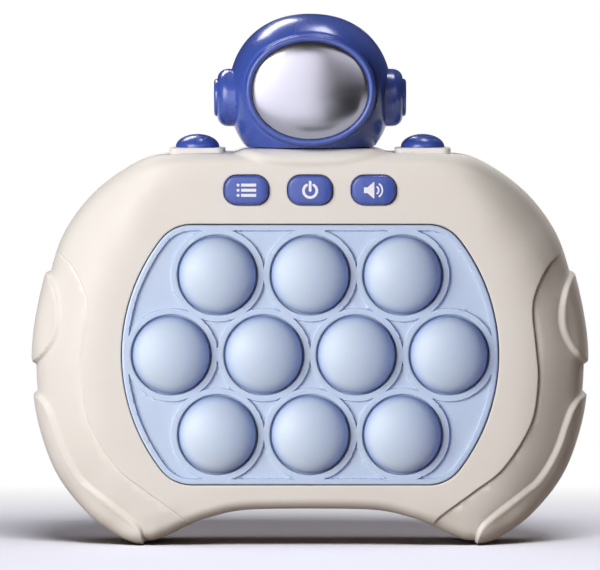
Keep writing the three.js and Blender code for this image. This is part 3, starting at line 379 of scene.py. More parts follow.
def smoothedDrop():
    # how far the roll lies under the flat face, over a grid of 1 mm, with the crease along each foot blurred
    columns, rows = [np.arange(low, high + 1) for low, high in zip(gridLow, gridHigh)]
    away, place = nearest(gridPoints(columns, rows), outline)
    width, rollDepth = rollAt(place)
    drop = rollDepth * (1 - np.sin(np.arccos((1 - away / width).clip(0, 1))))
    reach = 6
    kernel = np.exp(-0.5 * (np.arange(-reach, reach + 1) / body["blur"]) ** 2)
    kernel /= kernel.sum()

    def blurred(row):
        return np.convolve(np.pad(row, reach, mode="edge"), kernel, "valid")

    drop = drop.reshape(len(rows), len(columns))
    return np.apply_along_axis(blurred, 1, np.apply_along_axis(blurred, 0, drop))


dropGrid = smoothedDrop()


def bodySurface(places, front, depth, grow):
    # the shell's outer surface over points of the X-Z plane; grow raises it, as on the leaves. Near the
    # outline the roll is exact, and further in it is the blurred one
    away, place = nearest(places, outline)
    width, rollDepth = rollAt(place)
    t = np.arccos((1 - away / width).clip(0, 1))
    cell = np.floor(places).astype(int)
    fx, fz = (places - cell).T
    column, row = (cell - gridLow).clip(0, gridHigh - gridLow - 1).T
    blurred = ((dropGrid[row, column] * (1 - fx) + dropGrid[row, column + 1] * fx) * (1 - fz)
               + (dropGrid[row + 1, column] * (1 - fx) + dropGrid[row + 1, column + 1] * fx) * fz)
    share = eases((away - body["blurFrom"]) / body["blurOver"])
    drop = rollDepth * (1 - np.sin(t)) * (1 - share) + blurred * share
    base = np.floor(place).astype(int) % len(outline)
    part = (place - np.floor(place))[:, None]
    out = outlineNormals[base] * (1 - part) + outlineNormals[(base + 1) % len(outline)] * part
    moved = places + out * (grow * np.cos(t))[:, None]
    side = -1 if front else 1
    back = 0 if front else -1
    y = body["partY"] + side * (depth - drop) + side * grow * (np.sin(t) + back)
    return np.stack([moved[:, 0], y, moved[:, 1].clip(0)], 1)


def rollPoints():
    # rows of points that follow the roll, and a loose grid on the flat between
    turnSteps = 11
    width = rollAt(np.arange(len(outline)))[0]
    rows = []
    for step in range(1, turnSteps + 1):
        inset = width * (1 - cos(step * pi / 2 / turnSteps))
        row = outline - outlineNormals * inset[:, None]
        rows.append(row[nearest(row, outline)[0] > inset * 0.97 - 0.02])
    grid = gridPoints(np.arange(-75, 75.1, 2.5), np.arange(2.5, 108, 2.5))
    away, place = nearest(grid, outline)
    grid = grid[inside(grid, outline) & (away > rollAt(place)[0] + 0.8)]
    return rows + [grid]


seamRight = evenly(smoothCurve(np.array(body["seam"]) * shares, 200), 0.9)
seamLeft = mirrored(seamRight)
frontZone = np.vstack([seamRight, seamLeft[::-1], [[-90, 130], [90, 130]]])


def leafLoop(shareList, drop):
    edge = evenly(smoothCurve(np.array(shareList) * shares, 200), 0.9)
    first, last = edge[0], edge[-1]
    return np.vstack([edge, [[last[0], last[1] - drop], [90, last[1] - drop], [90, first[1]]]]), edge


upperLoop, upperEdge = leafLoop(body["upperLeaf"], 0)
lowerLoop, lowerEdge = leafLoop(body["lowerLeaf"], 6)
leafEdges = [upperEdge, lowerEdge]


def onRight(places):
    # the same places seen on the right half
    return np.stack([np.abs(places[:, 0]), places[:, 1]], 1)


def leafHeight(places):
    # how far the raised leaves stand out: a soft step along their inner edges
    right = onRight(places)
    away = nearest(right, outline)[0]
    ramp = body["leafRamp"] + body["rampGrowth"] * eases((away - body["rampFrom"]) / body["rampOver"])
    height = np.zeros(len(places))
    for loop in (upperLoop, lowerLoop):
        height = np.maximum(height, body["leafRise"] * eases(signedInside(right, loop) / ramp))
    return height


# the saddle that carries the helmet: the shells' top swells there, down to a faint line on the front
saddle = dict(rise=1.2, faceRise=0.28, faceTop=104.5, faceBlend=4, topHalf=19.6, footHalf=23, ramp=1.7,
              faint=0.45, fading=1.5,
              edge=[(-23, 109.2), (-17.5, 107.3), (-12, 105.8), (-6, 105.0), (0, 104.8),
                    (6, 105.0), (12, 105.8), (17.5, 107.3), (23, 109.2)])


def saddleHeight(places):
    line = smoothCurve(saddle["edge"], 60)
    lowest = np.interp(places[:, 0], line[:, 0], line[:, 1])
    across = np.abs(places[:, 0])
    sides = eases((saddle["footHalf"] - across) / (saddle["footHalf"] - saddle["topHalf"]))
    above = eases((places[:, 1] - lowest) / saddle["ramp"])
    outwards = (across / saddle["footHalf"]).clip(0, 1) ** saddle["fading"]
    faint = saddle["faint"] + (1 - saddle["faint"]) * outwards
    onTop = eases((places[:, 1] - saddle["faceTop"]) / saddle["faceBlend"])
    return sides * above * (saddle["faceRise"] * faint * (1 - onTop) + saddle["rise"] * onTop)


def saddleEdgeRows():
    line = evenly(smoothCurve(saddle["edge"], 120), 1.0)
    return [line + [0, rise] for rise in (0, 0.3, 0.6, 0.9, 1.2, 1.5, 2.1)]


def saddleSideRows():
    rows = []
    for x in np.arange(18.5, 24.1, 0.5):
        for side in (-1, 1):
            rows.append(np.stack([np.full(12, side * x), np.linspace(105.5, 108.6, 12)], 1))
    return rows


leafSteps = (0.1, 0.23, 0.37, 0.52, 0.67, 0.83, 1.0, 1.2, 1.45, 1.75, 2.2)


def leafRows():
    # rows of points over the leaves' soft step, on both sides
    rows = []
    for edge in leafEdges:
        for away in leafSteps:
            for sign in (-1, 1):
                row = offsetCurve(edge, sign * away)
                kept = leafHeight(row) > 0
                rows += [row[kept], mirrored(row[kept])]
    return rows


def eased(distance, radius):
    # how far a rounded edge has dropped at a distance in from it
    t = (1 - distance / radius).clip(0, 1)
    return radius * (1 - np.sqrt(1 - t * t))


# Shader groups


def newGroup(name, inputs, outputs):
    group = bpy.data.node_groups.new(name, "ShaderNodeTree")
    for label, kind, value in inputs:
        socket = group.interface.new_socket(label, in_out="INPUT", socket_type=kind)
        socket.default_value = value
    for label, kind in outputs:
        group.interface.new_socket(label, in_out="OUTPUT", socket_type=kind)
    start = group.nodes.new("NodeGroupInput")
    end = group.nodes.new("NodeGroupOutput")
    return group, start, end


def linked(tree, kind, settings=(), values=(), links=()):
    # adds a node, sets its properties and sockets, and links what feeds it
    node = tree.nodes.new(kind)
    for label, value in dict(settings).items():
        setattr(node, label, value)
    for label, value in dict(values).items():
        node.inputs[label].default_value = value
    for label, source in dict(links).items():
        tree.links.new(source, node.inputs[label])
    return node


def mixed(tree, factor, first, second, blend="MIX"):
    # a colour mix of sockets or fixed colours
    node = tree.nodes.new("ShaderNodeMix")
    node.data_type = "RGBA"
    node.blend_type = blend
    for socket, value in ((node.inputs[0], factor), (node.inputs[6], first), (node.inputs[7], second)):
        if isinstance(value, bpy.types.NodeSocket):
            tree.links.new(value, socket)
        else:
            socket.default_value = value
    return node.outputs[2]


def mapped(tree, value, low, high, toLow, toHigh):
    limits = {"From Min": low, "From Max": high, "To Min": toLow, "To Max": toHigh}
    return linked(tree, "ShaderNodeMapRange", values=limits, links={"Value": value}).outputs["Result"]


def multiplied(tree, first, second):
    node = linked(tree, "ShaderNodeMath", {"operation": "MULTIPLY"}, links={0: first, 1: second})
    return node.outputs[0]


def noise(tree, place, scale, detail, roughness=0.5):
    values = {"Scale": scale, "Detail": detail, "Roughness": roughness}
    return linked(tree, "ShaderNodeTexNoise", values=values, links={"Vector": place}).outputs["Fac"]


finishInputs = [
    ("Colour", "NodeSocketColor", (0.8, 0.8, 0.8, 1)), ("Shade", "NodeSocketColor", (0.7, 0.7, 0.7, 1)),
    ("Edge Colour", "NodeSocketColor", (0.9, 0.9, 0.9, 1)), ("Cloud", "NodeSocketFloat", 0.5),
    ("Grain Size", "NodeSocketFloat", 2600.0), ("Grain Depth", "NodeSocketFloat", 0.1),
    ("Low Roughness", "NodeSocketFloat", 0.4), ("High Roughness", "NodeSocketFloat", 0.5),
    ("Edge Wear", "NodeSocketFloat", 0.2)]


def mouldedGroup():
    # moulded plastic: cloudy colour, spark-eroded grain, uneven gloss and paler handled edges
    group, start, end = newGroup("mouldedFinish", finishInputs, [
        ("Colour", "NodeSocketColor"), ("Roughness", "NodeSocketFloat"), ("Normal", "NodeSocketVector")])
    given = start.outputs
    place = linked(group, "ShaderNodeTexCoord").outputs["Object"]
    cloud = mapped(group, noise(group, place, 38, 3, 0.55), 0.35, 0.7, 0, 1)
    colour = mixed(group, multiplied(group, cloud, given["Cloud"]), given["Colour"], given["Shade"])
    edges = mapped(group, linked(group, "ShaderNodeNewGeometry").outputs["Pointiness"], 0.515, 0.56, 0, 1)
    patches = mapped(group, noise(group, place, 160, 4, 0.6), 0.4, 0.6, 0.2, 1)
    worn = multiplied(group, multiplied(group, edges, patches), given["Edge Wear"])
    colour = mixed(group, worn, colour, given["Edge Colour"])
    grain = linked(group, "ShaderNodeTexNoise", values={"Detail": 2, "Roughness": 0.5},
                   links={"Vector": place, "Scale": given["Grain Size"]}).outputs["Fac"]
    bump = linked(group, "ShaderNodeBump", values={"Distance": 0.00006},
                  links={"Height": grain, "Strength": given["Grain Depth"]})
    rough = linked(group, "ShaderNodeMapRange", values={"From Min": 0.35, "From Max": 0.65},
                   links={"Value": noise(group, place, 75, 2), "To Min": given["Low Roughness"],
                          "To Max": given["High Roughness"]})
    group.links.new(colour, end.inputs["Colour"])
    group.links.new(rough.outputs["Result"], end.inputs["Roughness"])
    group.links.new(bump.outputs["Normal"], end.inputs["Normal"])
    return group


moulded = mouldedGroup()


def shade(red, green, blue):
    # a colour written as it shows on screen, 0 to 255
    def straight(value):
        value /= 255
        return value / 12.92 if value <= 0.04045 else ((value + 0.055) / 1.055) ** 2.4
    return (straight(red), straight(green), straight(blue), 1)


def mouldedMaterial(name, colours, amounts, fixed=None, paintedShade=None):
    # colours and amounts go to the shared group in the order of its inputs, fixed goes straight on the
    # shader's own sockets; the turned-away colour is painted shade: a deeper blue mixed in where the surface
    # turns away from the view, in place of the shade on its far side
    given = [shade(*colour) for colour in colours] + list(amounts)
    finish = dict(zip([row[0] for row in finishInputs], given))
    material = bpy.data.materials.new(name)
    material.use_nodes = True
    tree = material.node_tree
    shader = tree.nodes["Principled BSDF"]
    surface = linked(tree, "ShaderNodeGroup", {"node_tree": moulded}, finish)
    colour = surface.outputs["Colour"]
    if paintedShade:
        # painted shade: a deeper blue where the surface turns away from the view
        facing = linked(tree, "ShaderNodeLayerWeight", values={"Blend": 0.5}).outputs["Facing"]
        colour = mixed(tree, mapped(tree, facing, 0.2, 0.7, 0, paintedShade[1]), colour, shade(*paintedShade[0]))
    tree.links.new(colour, shader.inputs["Base Color"])
    tree.links.new(surface.outputs["Roughness"], shader.inputs["Roughness"])
    tree.links.new(surface.outputs["Normal"], shader.inputs["Normal"])
    for label, value in (fixed or {}).items():
        shader.inputs[label].default_value = value
    material.diffuse_color = finish["Colour"]
    return material


# each finish: colour, its cloudy shade and its worn edge; then cloud, grain size and depth, low and high
# roughness, and edge wear
beigePlastic = mouldedMaterial(
    "beigePlastic", ((231, 227, 222), (226, 220, 214), (240, 236, 230)), (0.5, 2400, 0.12, 0.5, 0.6, 0.25),
    {"Specular IOR Level": 0.25})
blueSilicone = mouldedMaterial(
    "blueSilicone", ((183, 198, 220), (176, 192, 216), (222, 232, 248)), (0.5, 1500, 0.1, 0.42, 0.52, 0.3),
    {"Specular IOR Level": 0.7, "Subsurface Weight": 0.2, "Subsurface Scale": 0.4,
     "Subsurface Radius": (0.0008, 0.0014, 0.004)})
# the domes get painted shade: a deeper blue towards their turned-away edges
bubbleSilicone = mouldedMaterial(
    "bubbleSilicone", ((188, 202, 220), (182, 197, 216), (222, 232, 248)), (0.5, 1500, 0.08, 0.5, 0.58, 0.1),
    {"Specular IOR Level": 0.5, "Subsurface Weight": 0.3, "Subsurface Scale": 0.6,
     "Subsurface Radius": (0.0008, 0.0014, 0.005)}, paintedShade=((84, 118, 190), 0.55))
indigoPlastic = mouldedMaterial(
    "indigoPlastic", ((63, 87, 173), (57, 81, 167), (120, 134, 205)), (0.5, 2800, 0.05, 0.22, 0.3, 0.3),
    {"Coat Weight": 0.25, "Coat Roughness": 0.15})
whiteInk = mouldedMaterial(
    "whiteInk", ((240, 240, 246), (228, 228, 238), (250, 250, 252)), (0.6, 3500, 0.15, 0.45, 0.6, 0.1))
visorMirror = mouldedMaterial(
    "visorMirror", ((164, 164, 170), (158, 158, 165), (180, 180, 186)), (0.4, 700, 0.01, 0.2, 0.24, 0),
    {"Metallic": 1})
steelFinish = mouldedMaterial(
    "steelFinish", ((176, 178, 182), (150, 152, 158), (215, 216, 220)), (0.7, 5200, 0.15, 0.24, 0.4, 0.6),
    {"Metallic": 1})
blackPlastic = mouldedMaterial(
    "blackPlastic", ((38, 39, 44), (30, 31, 36), (74, 75, 82)), (0.6, 2600, 0.2, 0.42, 0.6, 0.3))
boardLaminate = mouldedMaterial(
    "boardLaminate", ((36, 92, 62), (26, 74, 50), (150, 140, 96)), (0.8, 1900, 0.25, 0.25, 0.4, 0.5),
    {"Coat Weight": 0.3})
lampResin = mouldedMaterial(
    "lampResin", ((246, 242, 220), (236, 228, 196), (252, 250, 240)), (0.6, 3000, 0.05, 0.15, 0.25, 0.1))
cellSleeve = mouldedMaterial(
    "cellSleeve", ((58, 63, 74), (48, 53, 64), (120, 124, 134)), (0.5, 1200, 0.06, 0.25, 0.35, 0.3),
    {"Coat Weight": 0.4})
cellBand = mouldedMaterial(
    "cellBand", ((196, 138, 88), (182, 124, 76), (226, 190, 150)), (0.5, 1200, 0.06, 0.22, 0.32, 0.3),
    {"Metallic": 0.6, "Coat Weight": 0.4})
beige = "beige_plastic", beigePlastic
indigo = "indigo_plastic", indigoPlastic
print("materials made")


# Shells


def boxOf(node):
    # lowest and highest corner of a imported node, in millimetres
    low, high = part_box(node)
    return np.array(low) / mm, np.array(high) / mm


def middleOf(node):
    low, high = boxOf(node)
    return (low + high) / 2


def ringForm(rings, startCap=False, endCap=False):
    # extrudes a first closed ring of points from ring to ring
    bm = bmesh.new()
    ring = [bm.verts.new(point) for point in rings[0]]
    edges = [bm.edges.new((ring[at - 1], ring[at])) for at in range(len(ring))]
    if startCap:
        bm.faces.new(ring)
    for targets in rings[1:]:
        made = bmesh.ops.extrude_edge_only(bm, edges=edges)["geom"]
        order = {vert: at for at, vert in enumerate(ring)}
        following = [None] * len(ring)
        for vert in (part for part in made if isinstance(part, bmesh.types.BMVert)):
            for edge in vert.link_edges:
                other = edge.other_vert(vert)
                if other in order:
                    following[order[other]] = vert
        for vert, point in zip(following, targets):
            vert.co = point
        fresh = set(following)
        edges = [part for part in made if isinstance(part, bmesh.types.BMEdge) and set(part.verts) <= fresh]
        ring = following
    if endCap:
        bm.faces.new(ring)
    bmesh.ops.remove_doubles(bm, verts=bm.verts, dist=1e-4)
    bmesh.ops.recalc_face_normals(bm, faces=bm.faces)
    return bm


def atDepth(loop, y):
    return [(x, y, z) for x, z in loop]


window = dict(radius=52.3, halfHeight=36.2, corner=11, height=53.2)


def barrelLoop(grow, spacing=0.8):
    # a circle cut off flat above and below, with rounded corners
    radius, half, corner = [window[part] + grow for part in ("radius", "halfHeight", "corner")]
    centreX, centreZ = sqrt((radius - corner) ** 2 - (half - corner) ** 2), half - corner
    turn = np.arctan2(centreZ, centreX)
    side = [(radius * cos(t), radius * sin(t)) for t in np.linspace(0, turn, 40)]
    turns = np.linspace(turn, pi / 2, 20)[1:]
    quarter = np.array(side + [(centreX + corner * cos(t), centreZ + corner * sin(t)) for t in turns])
    top = np.vstack([quarter, mirrored(quarter)[::-1]])
    loop = np.vstack([top, (top * [1, -1])[::-1][1:-1]])
    return dense(loop, spacing) + [0, window["height"]]


buttonCentres = [middleOf(name)[[0, 2]] for name in ("menu_button", "power_button", "sound_button")]
button = dict(halfWidth=6.08, halfHeight=4.02, corner=3.5, gap=0.24, edge=0.75, front=-17.3, flange=0.9,
              flangeFront=-13.3, back=-12.4, faceSteps=((0.672, 0.05), (1.44, 0.1)))
holeSteps = (0.06, 0.14, 0.23, 0.31, 0.8)  # rows of points over an opening's rounded edge
seamSteps = (0.08, 0.2, 0.33, 0.46, 1.0)


def swollenOutline(front):
    # where the outline's points go once the leaves or the saddle have pushed them out
    swell = saddleHeight(outline)
    swell = swell if front else np.maximum(swell, leafHeight(outline))
    return bodySurface(outline, front, body["backDepth"], swell)[:, [0, 2]]


def makeFrontShell():
    windowLoop = barrelLoop(0)
    hole = [button[part] + button["gap"] for part in ("halfWidth", "halfHeight", "corner")]
    openings = [windowLoop] + [dense(roundedLoop(x, z, *hole), 0.55) for x, z in buttonCentres]
    cuts = [seamRight, seamLeft]
    rows = saddleEdgeRows() + saddleSideRows()
    for opening in openings:
        rows += edgeRows(opening, bothSides(holeSteps))
    for cut in cuts:
        rows += edgeRows(cut, bothSides(seamSteps), closed=False)
    keep = insideAll([outline, frontZone], openings)

    def surface(places):
        points = bodySurface(places, True, body["frontDepth"], saddleHeight(places))
        for opening in openings:
            points[:, 1] += eased(nearest(places, opening)[0], body["holeRound"])
        for cut in cuts:
            points[:, 1] += eased(nearest(places, cut, closed=False)[0], body["seamRound"])
        return points

    near = [row[inside(row, outline)] for row in rows]
    places, faces = filledRegion([outline] + openings, cuts, near, rollPoints(), keep)
    bm = reliefMesh(places, faces, surface)

    def moveTo(points):
        flat = points[:, [0, 2]]
        targets = points.copy()
        targets[:, 1] += body["openingDepth"]
        onOutline = nearest(flat, swollenOutline(True))[0] < touching
        targets[onOutline, 1] = body["partY"] - body["partGap"]
        return targets

    walled(bm, moveTo)
    shell = newPiece("frontShell", bm, "housing", beige, ["front_shell"])
    thickened(shell, body["wallThickness"])


def gripSurface(places):
    # the grips' front leans back past the front shell's edge, and its leaves lean back a little more
    points = bodySurface(places, True, body["frontDepth"] - body["seamStep"], leafHeight(places))
    right = onRight(places)
    past = nearest(right, seamRight, closed=False)[0] * ~inside(places, frontZone)
    within = np.maximum(signedInside(right, upperLoop), signedInside(right, lowerLoop)).clip(0)
    edge = nearest(places, outline)[0]
    gripShare = (1 - np.exp(-past / body["gripReach"])) * eases(edge / body["gripRim"])
    leafShare = (1 - np.exp(-within / body["leafReach"])) * eases(edge / body["leafReach"])
    points[:, 1] += body["gripLean"] * gripShare + body["leafLean"] * leafShare
    return points


def gripPatch(side):
    # one grip's front surface, which runs a little way under the front shell's edge
    cut = offsetCurve(seamRight, -body["gripUnder"]) * [side, 1]
    zone = np.vstack([cut, [[side * 20, -20], [side * 95, -20], [side * 95, 95]]])
    edges = [edge * [side, 1] for edge in leafEdges]
    keep = insideAll([outline, zone])
    near, loose = [[row[keep(row)] for row in rows] for rows in (leafRows(), rollPoints())]
    places, faces = filledRegion([outline], [cut] + edges, near, loose, keep)
    return reliefMesh(places, faces, gripSurface)


leafyOutline = swollenOutline(False)


def baseOf(flat):
    # the outline's own point for each point of the leafy outline
    place = nearest(flat, leafyOutline)[1]
    low = np.floor(place).astype(int) % len(outline)
    part = (place - np.floor(place))[:, None]
    return outline[low] * (1 - part) + outline[(low + 1) % len(outline)] * part


fitting = dict(wellRadius=3.2, wellFloor=14, slotHalfHeight=0.7, slotCount=5, slotPitch=3.6, slotReach=10.5,
               slotEnd=19.8, doorGap=0.3, doorCorner=4, ledge=19.7, boxHalfWidth=24.85, boxHalfHeight=16.7,
               boxFloor=7.85)
doorLow, doorHigh = boxOf("battery_door")
doorMiddle = (doorLow + doorHigh) / 2
doorHalf = (doorHigh - doorLow) / 2
speakerMiddle = middleOf("speaker")
screwMiddles = [middleOf(f"case_screw_{number}") for number in range(1, 5)]


def doorOpening():
    # the door's rounded rectangle and the gap round it, which the tray's ledge fills too
    half = doorHalf[[0, 2]] + fitting["doorGap"]
    return roundedLoop(0, doorMiddle[2], *half, fitting["doorCorner"] + fitting["doorGap"], steps=12)


def grilleLoops():
    loops = []
    for at in range(fitting["slotCount"]):
        rise = (at - (fitting["slotCount"] - 1) / 2) * fitting["slotPitch"]
        half = sqrt(fitting["slotReach"] ** 2 - rise ** 2)
        tall = fitting["slotHalfHeight"]
        loops.append(dense(roundedLoop(0, speakerMiddle[2] + rise, half, tall, tall * 0.98), 0.5))
    return loops


def makeRearShell():
    wells = [circleLoop(middle[0], middle[2], fitting["wellRadius"], 40) for middle in screwMiddles]
    slots = grilleLoops()
    openings = [doorOpening()] + wells + slots
    edges = leafEdges + [mirrored(edge) for edge in leafEdges]
    rows = leafRows() + saddleSideRows()
    for opening in openings:
        rows += edgeRows(dense(opening, 0.7), bothSides(holeSteps))
    near = [row[inside(row, outline)] for row in rows]
    keep = insideAll([outline], openings)

    def surface(places):
        raised = np.maximum(leafHeight(places), saddleHeight(places))
        points = bodySurface(places, False, body["backDepth"], raised)
        for opening in openings:
            points[:, 1] -= eased(nearest(places, opening)[0], body["holeRound"])
        return points

    places, faces = filledRegion([outline] + openings, edges, near, rollPoints(), keep)
    bm = reliefMesh(places, faces, surface, front=False)

    def moveTo(points):
        flat = points[:, [0, 2]]
        targets = points.copy()
        depths = [fitting["ledge"]] + [fitting["wellFloor"]] * len(wells) + [fitting["slotEnd"]] * len(slots)
        for opening, depth in zip(openings, depths):
            targets[nearest(flat, opening)[0] < touching, 1] = depth
        rim = nearest(flat, leafyOutline)[0] < touching
        targets[rim, 1] = body["partY"] + body["partGap"]
        # the grips wrap round: there the rim runs on to the grip's own edge points
        for at in np.nonzero(rim & ~inside(baseOf(flat), frontZone))[0]:
            gaps = np.hypot(*(gripEdge[:, [0, 2]] - flat[at]).T)
            targets[at] = gripEdge[gaps.argmin()] if gaps.min() < body["snap"] else targets[at]
        return targets

    patches = [gripPatch(1), gripPatch(-1)]
    gripEdge = np.array([vert.co[:] for patch in patches for vert in patch.verts if vert.is_boundary])
    walled(bm, moveTo)
    for well in wells:
        bm.faces.new([bm.verts.new(point) for point in atDepth(well, fitting["wellFloor"])])
    bm = joined(bm, *patches)
    bmesh.ops.remove_doubles(bm, verts=bm.verts, dist=0.004)
    # small openings are left where the side seam crosses the ends of a leaf
    rims = [edge for edge in bm.edges if edge.is_boundary]
    filled = bmesh.ops.holes_fill(bm, edges=rims, sides=16)["faces"]
    slivers = [face for face in filled if face.calc_area() < body["smallest"]]
    bmesh.ops.delete(bm, geom=slivers, context="FACES_ONLY")
    shell = newPiece("rearShell", bm, "housing", beige, ["rear_shell"])
    thickened(shell, body["wallThickness"])


makeFrontShell()
print("front shell made")
makeRearShell()
print("rear shell made")


# Back fittings

door = dict(front=20, back=22, round=0.5, skin=1.1, wellRadius=2.55, wellFloor=20.85, wellRound=0.3,
            scoopHeight=34.5, scoopHalf=(13, 5), scoopDepth=0.75, scoopRamp=1.5, shank=1.4, ridges=5,
            ridgePitch=1.7, ridgeHalf=(10.6, 0.42), ridgeTaper=0.75, ridgeTop=21.88, ribAcross=10.9,
            ribHalf=(1, 16.2), ribFront=19.05, ribEnd=20.95)
tray = dict(ledge=19.7, skirt=1.2, pilotRadius=1.4, pilotEnd=12.9, ribHalf=(20.5, 0.75), ribTop=9.5,
            markAcross=26.8, markSize=1.15, markHalf=0.26, markRise=0.22)
plusSides = (1, -1, 1)  # which end of each cell is plus
cellMiddles = [middleOf(f"battery_{number}") for number in (1, 2, 3)]


def flatRegion(loops, rows, spacing, surface, front):
    # a mesh inside the first loop and outside the others
    low, high = loops[0].min(0), loops[0].max(0)
    loose = gridPoints(np.arange(low[0], high[0], spacing), np.arange(low[1], high[1], spacing))
    keep = insideAll(loops[:1], loops[1:])
    places, faces = filledRegion(loops, [], rows, [loose[keep(loose)]], keep)
    return reliefMesh(places, faces, surface, front)


def makeDoor():
    rim = dense(roundedLoop(0, doorMiddle[2], doorHalf[0], doorHalf[2], fitting["doorCorner"], 12), 0.7)
    screwHeight = middleOf("battery_door_screw")[2]
    well = circleLoop(0, screwHeight, door["wellRadius"], 48)
    wide, tall = door["scoopHalf"]
    scoop = dense(roundedLoop(0, door["scoopHeight"], wide, tall, tall - 0.1, 12), 0.6)
    rows = edgeRows(rim, bothSides((0.05, 0.13, 0.23, 0.35, 0.5)))
    rows += edgeRows(well, bothSides((0.05, 0.12, 0.2, 0.3, 0.6)))
    rows += edgeRows(scoop, [0] + bothSides((0.2, 0.4, 0.7, 1.0, 1.4)))
    rows = [row[inside(row, rim) & ~inside(row, well)] for row in rows]

    def surface(places):
        depth = eased(nearest(places, rim)[0], door["round"])
        depth += eased(nearest(places, well)[0], door["wellRound"])
        depth += door["scoopDepth"] * eases(signedInside(places, scoop) / door["scoopRamp"])
        return np.stack([places[:, 0], door["back"] - depth, places[:, 1]], 1)

    bm = flatRegion([rim, well], rows, 1.3, surface, False)

    def moveTo(points):
        atWell = nearest(points[:, [0, 2]], well)[0] < touching
        points[:, 1] = np.where(atWell, door["wellFloor"], door["front"])
        return points

    ring = walled(bm, moveTo)
    seat = [vert for vert in ring if abs(vert.co.y - door["wellFloor"]) < touching]
    wellEdges = [edge for edge in bm.edges if edge.is_boundary and edge.verts[0] in seat]
    for radius, y in ((door["shank"], door["wellFloor"]), (door["shank"], door["front"] + 0.1)):
        made = bmesh.ops.extrude_edge_only(bm, edges=wellEdges)["geom"]
        for vert in (part for part in made if isinstance(part, bmesh.types.BMVert)):
            turn = np.arctan2(vert.co.z - screwHeight, vert.co.x)
            vert.co = (radius * cos(turn), y, screwHeight + radius * sin(turn))
        wellEdges = [part for part in made if isinstance(part, bmesh.types.BMEdge) and part.is_boundary]
    bmesh.ops.recalc_face_normals(bm, faces=bm.faces)
    if sum(face.normal.y * face.calc_area() for face in bm.faces) < 0:
        bmesh.ops.reverse_faces(bm, faces=bm.faces)
    panel = newPiece("doorPanel", bm, "battery_door", beige, ["battery_door"])
    thickened(panel, door["skin"])
    ridges = []
    for at in range(door["ridges"]):
        offMiddle = at - (door["ridges"] - 1) / 2
        half = door["ridgeHalf"][0] - door["ridgeTaper"] * abs(offMiddle) ** 1.5
        height = door["scoopHeight"] + offMiddle * door["ridgePitch"]
        loop = roundedLoop(0, height, half, door["ridgeHalf"][1], 0.4, 6)
        ridges.append(plateForm(loop, door["ridgeTop"], door["back"] - 1.2, 0.3))
    newPiece("doorRidges", joined(*ridges), "battery_door", beige)
    ribs = []
    for side in (-1, 1):
        loop = roundedLoop(side * door["ribAcross"], doorMiddle[2], *door["ribHalf"], 0.5, 4)
        ribs.append(plateForm(loop, door["ribFront"], door["ribEnd"], 0.35))
    newPiece("doorRibs", joined(*ribs), "battery_door", beige)


def makeTray():
    # ledge under the door, box walls and floor, ribs between the cells and raised polarity marks
    rim = doorOpening()
    box = dense(roundedLoop(0, doorMiddle[2], fitting["boxHalfWidth"], fitting["boxHalfHeight"], 0.6, 5), 0.8)
    pilot = circleLoop(0, middleOf("battery_door_screw")[2], tray["pilotRadius"], 36)

    def surface(places):
        depth = eased(nearest(places, box)[0], 0.4) + eased(nearest(places, pilot)[0], 0.2)
        return np.stack([places[:, 0], tray["ledge"] - depth, places[:, 1]], 1)

    rows = edgeRows(box, (-0.06, -0.14, -0.26, -0.4)) + edgeRows(pilot, bothSides((0.06, 0.12, 0.2)))
    rows = [row[inside(row, rim) & ~inside(row, box) & ~inside(row, pilot)] for row in rows]
    bm = flatRegion([dense(rim, 0.8), box, pilot], rows, 1.6, surface, False)

    def moveTo(points):
        flat = points[:, [0, 2]]
        points[:, 1] = tray["ledge"] - tray["skirt"]
        points[nearest(flat, box)[0] < touching, 1] = fitting["boxFloor"]
        points[nearest(flat, pilot)[0] < touching, 1] = tray["pilotEnd"]
        return points

    ring = walled(bm, moveTo)
    floorVerts = {vert for vert in ring if abs(vert.co.y - fitting["boxFloor"]) < touching}
    floorEdges = [edge for edge in bm.edges if edge.is_boundary and set(edge.verts) <= floorVerts]
    bmesh.ops.edgeloop_fill(bm, edges=floorEdges)
    parts = [bm]
    for first, second in zip(cellMiddles, cellMiddles[1:]):
        loop = roundedLoop(0, (first[2] + second[2]) / 2, *tray["ribHalf"], 0.6, 6)
        parts.append(plateForm(loop, tray["ribTop"], fitting["boxFloor"] - 0.1, 0.4))
    long, short = tray["markSize"], tray["markHalf"]
    for middle, plusSide in zip(cellMiddles, plusSides):
        for side in (-1, 1):
            strokes = [(long, short), (short, long)] if side == plusSide else [(long, short)]
            for half in strokes:
                loop = roundedLoop(side * tray["markAcross"], middle[2], *half, 0.12, 4)
                parts.append(plateForm(loop, tray["ledge"] + tray["markRise"], tray["ledge"] - 0.2, 0.1, 2))
    newPiece("batteryTray", joined(*parts), "housing", beige)


def crossLoop(reach, half, corner):
    # outline of a cross recess, with short rounds where its arms meet
    bend = half + corner * 0.3
    quarter = [(reach, -half), (reach, half), (half + corner, half), (bend, bend), (half, half + corner)]
    points = []
    for turn in range(4):
        c, s = round(cos(turn * pi / 2)), round(sin(turn * pi / 2))
        points += [(x * c - z * s, x * s + z * c) for x, z in quarter]
    return np.array(points)


screw = dict(reach=0.62, arm=0.13, corner=0.12, recess=0.95, recessRise=0.4, recessRamp=0.22, crown=0.22,
             edge=0.4, threadDepth=0.2, neck=0.6)


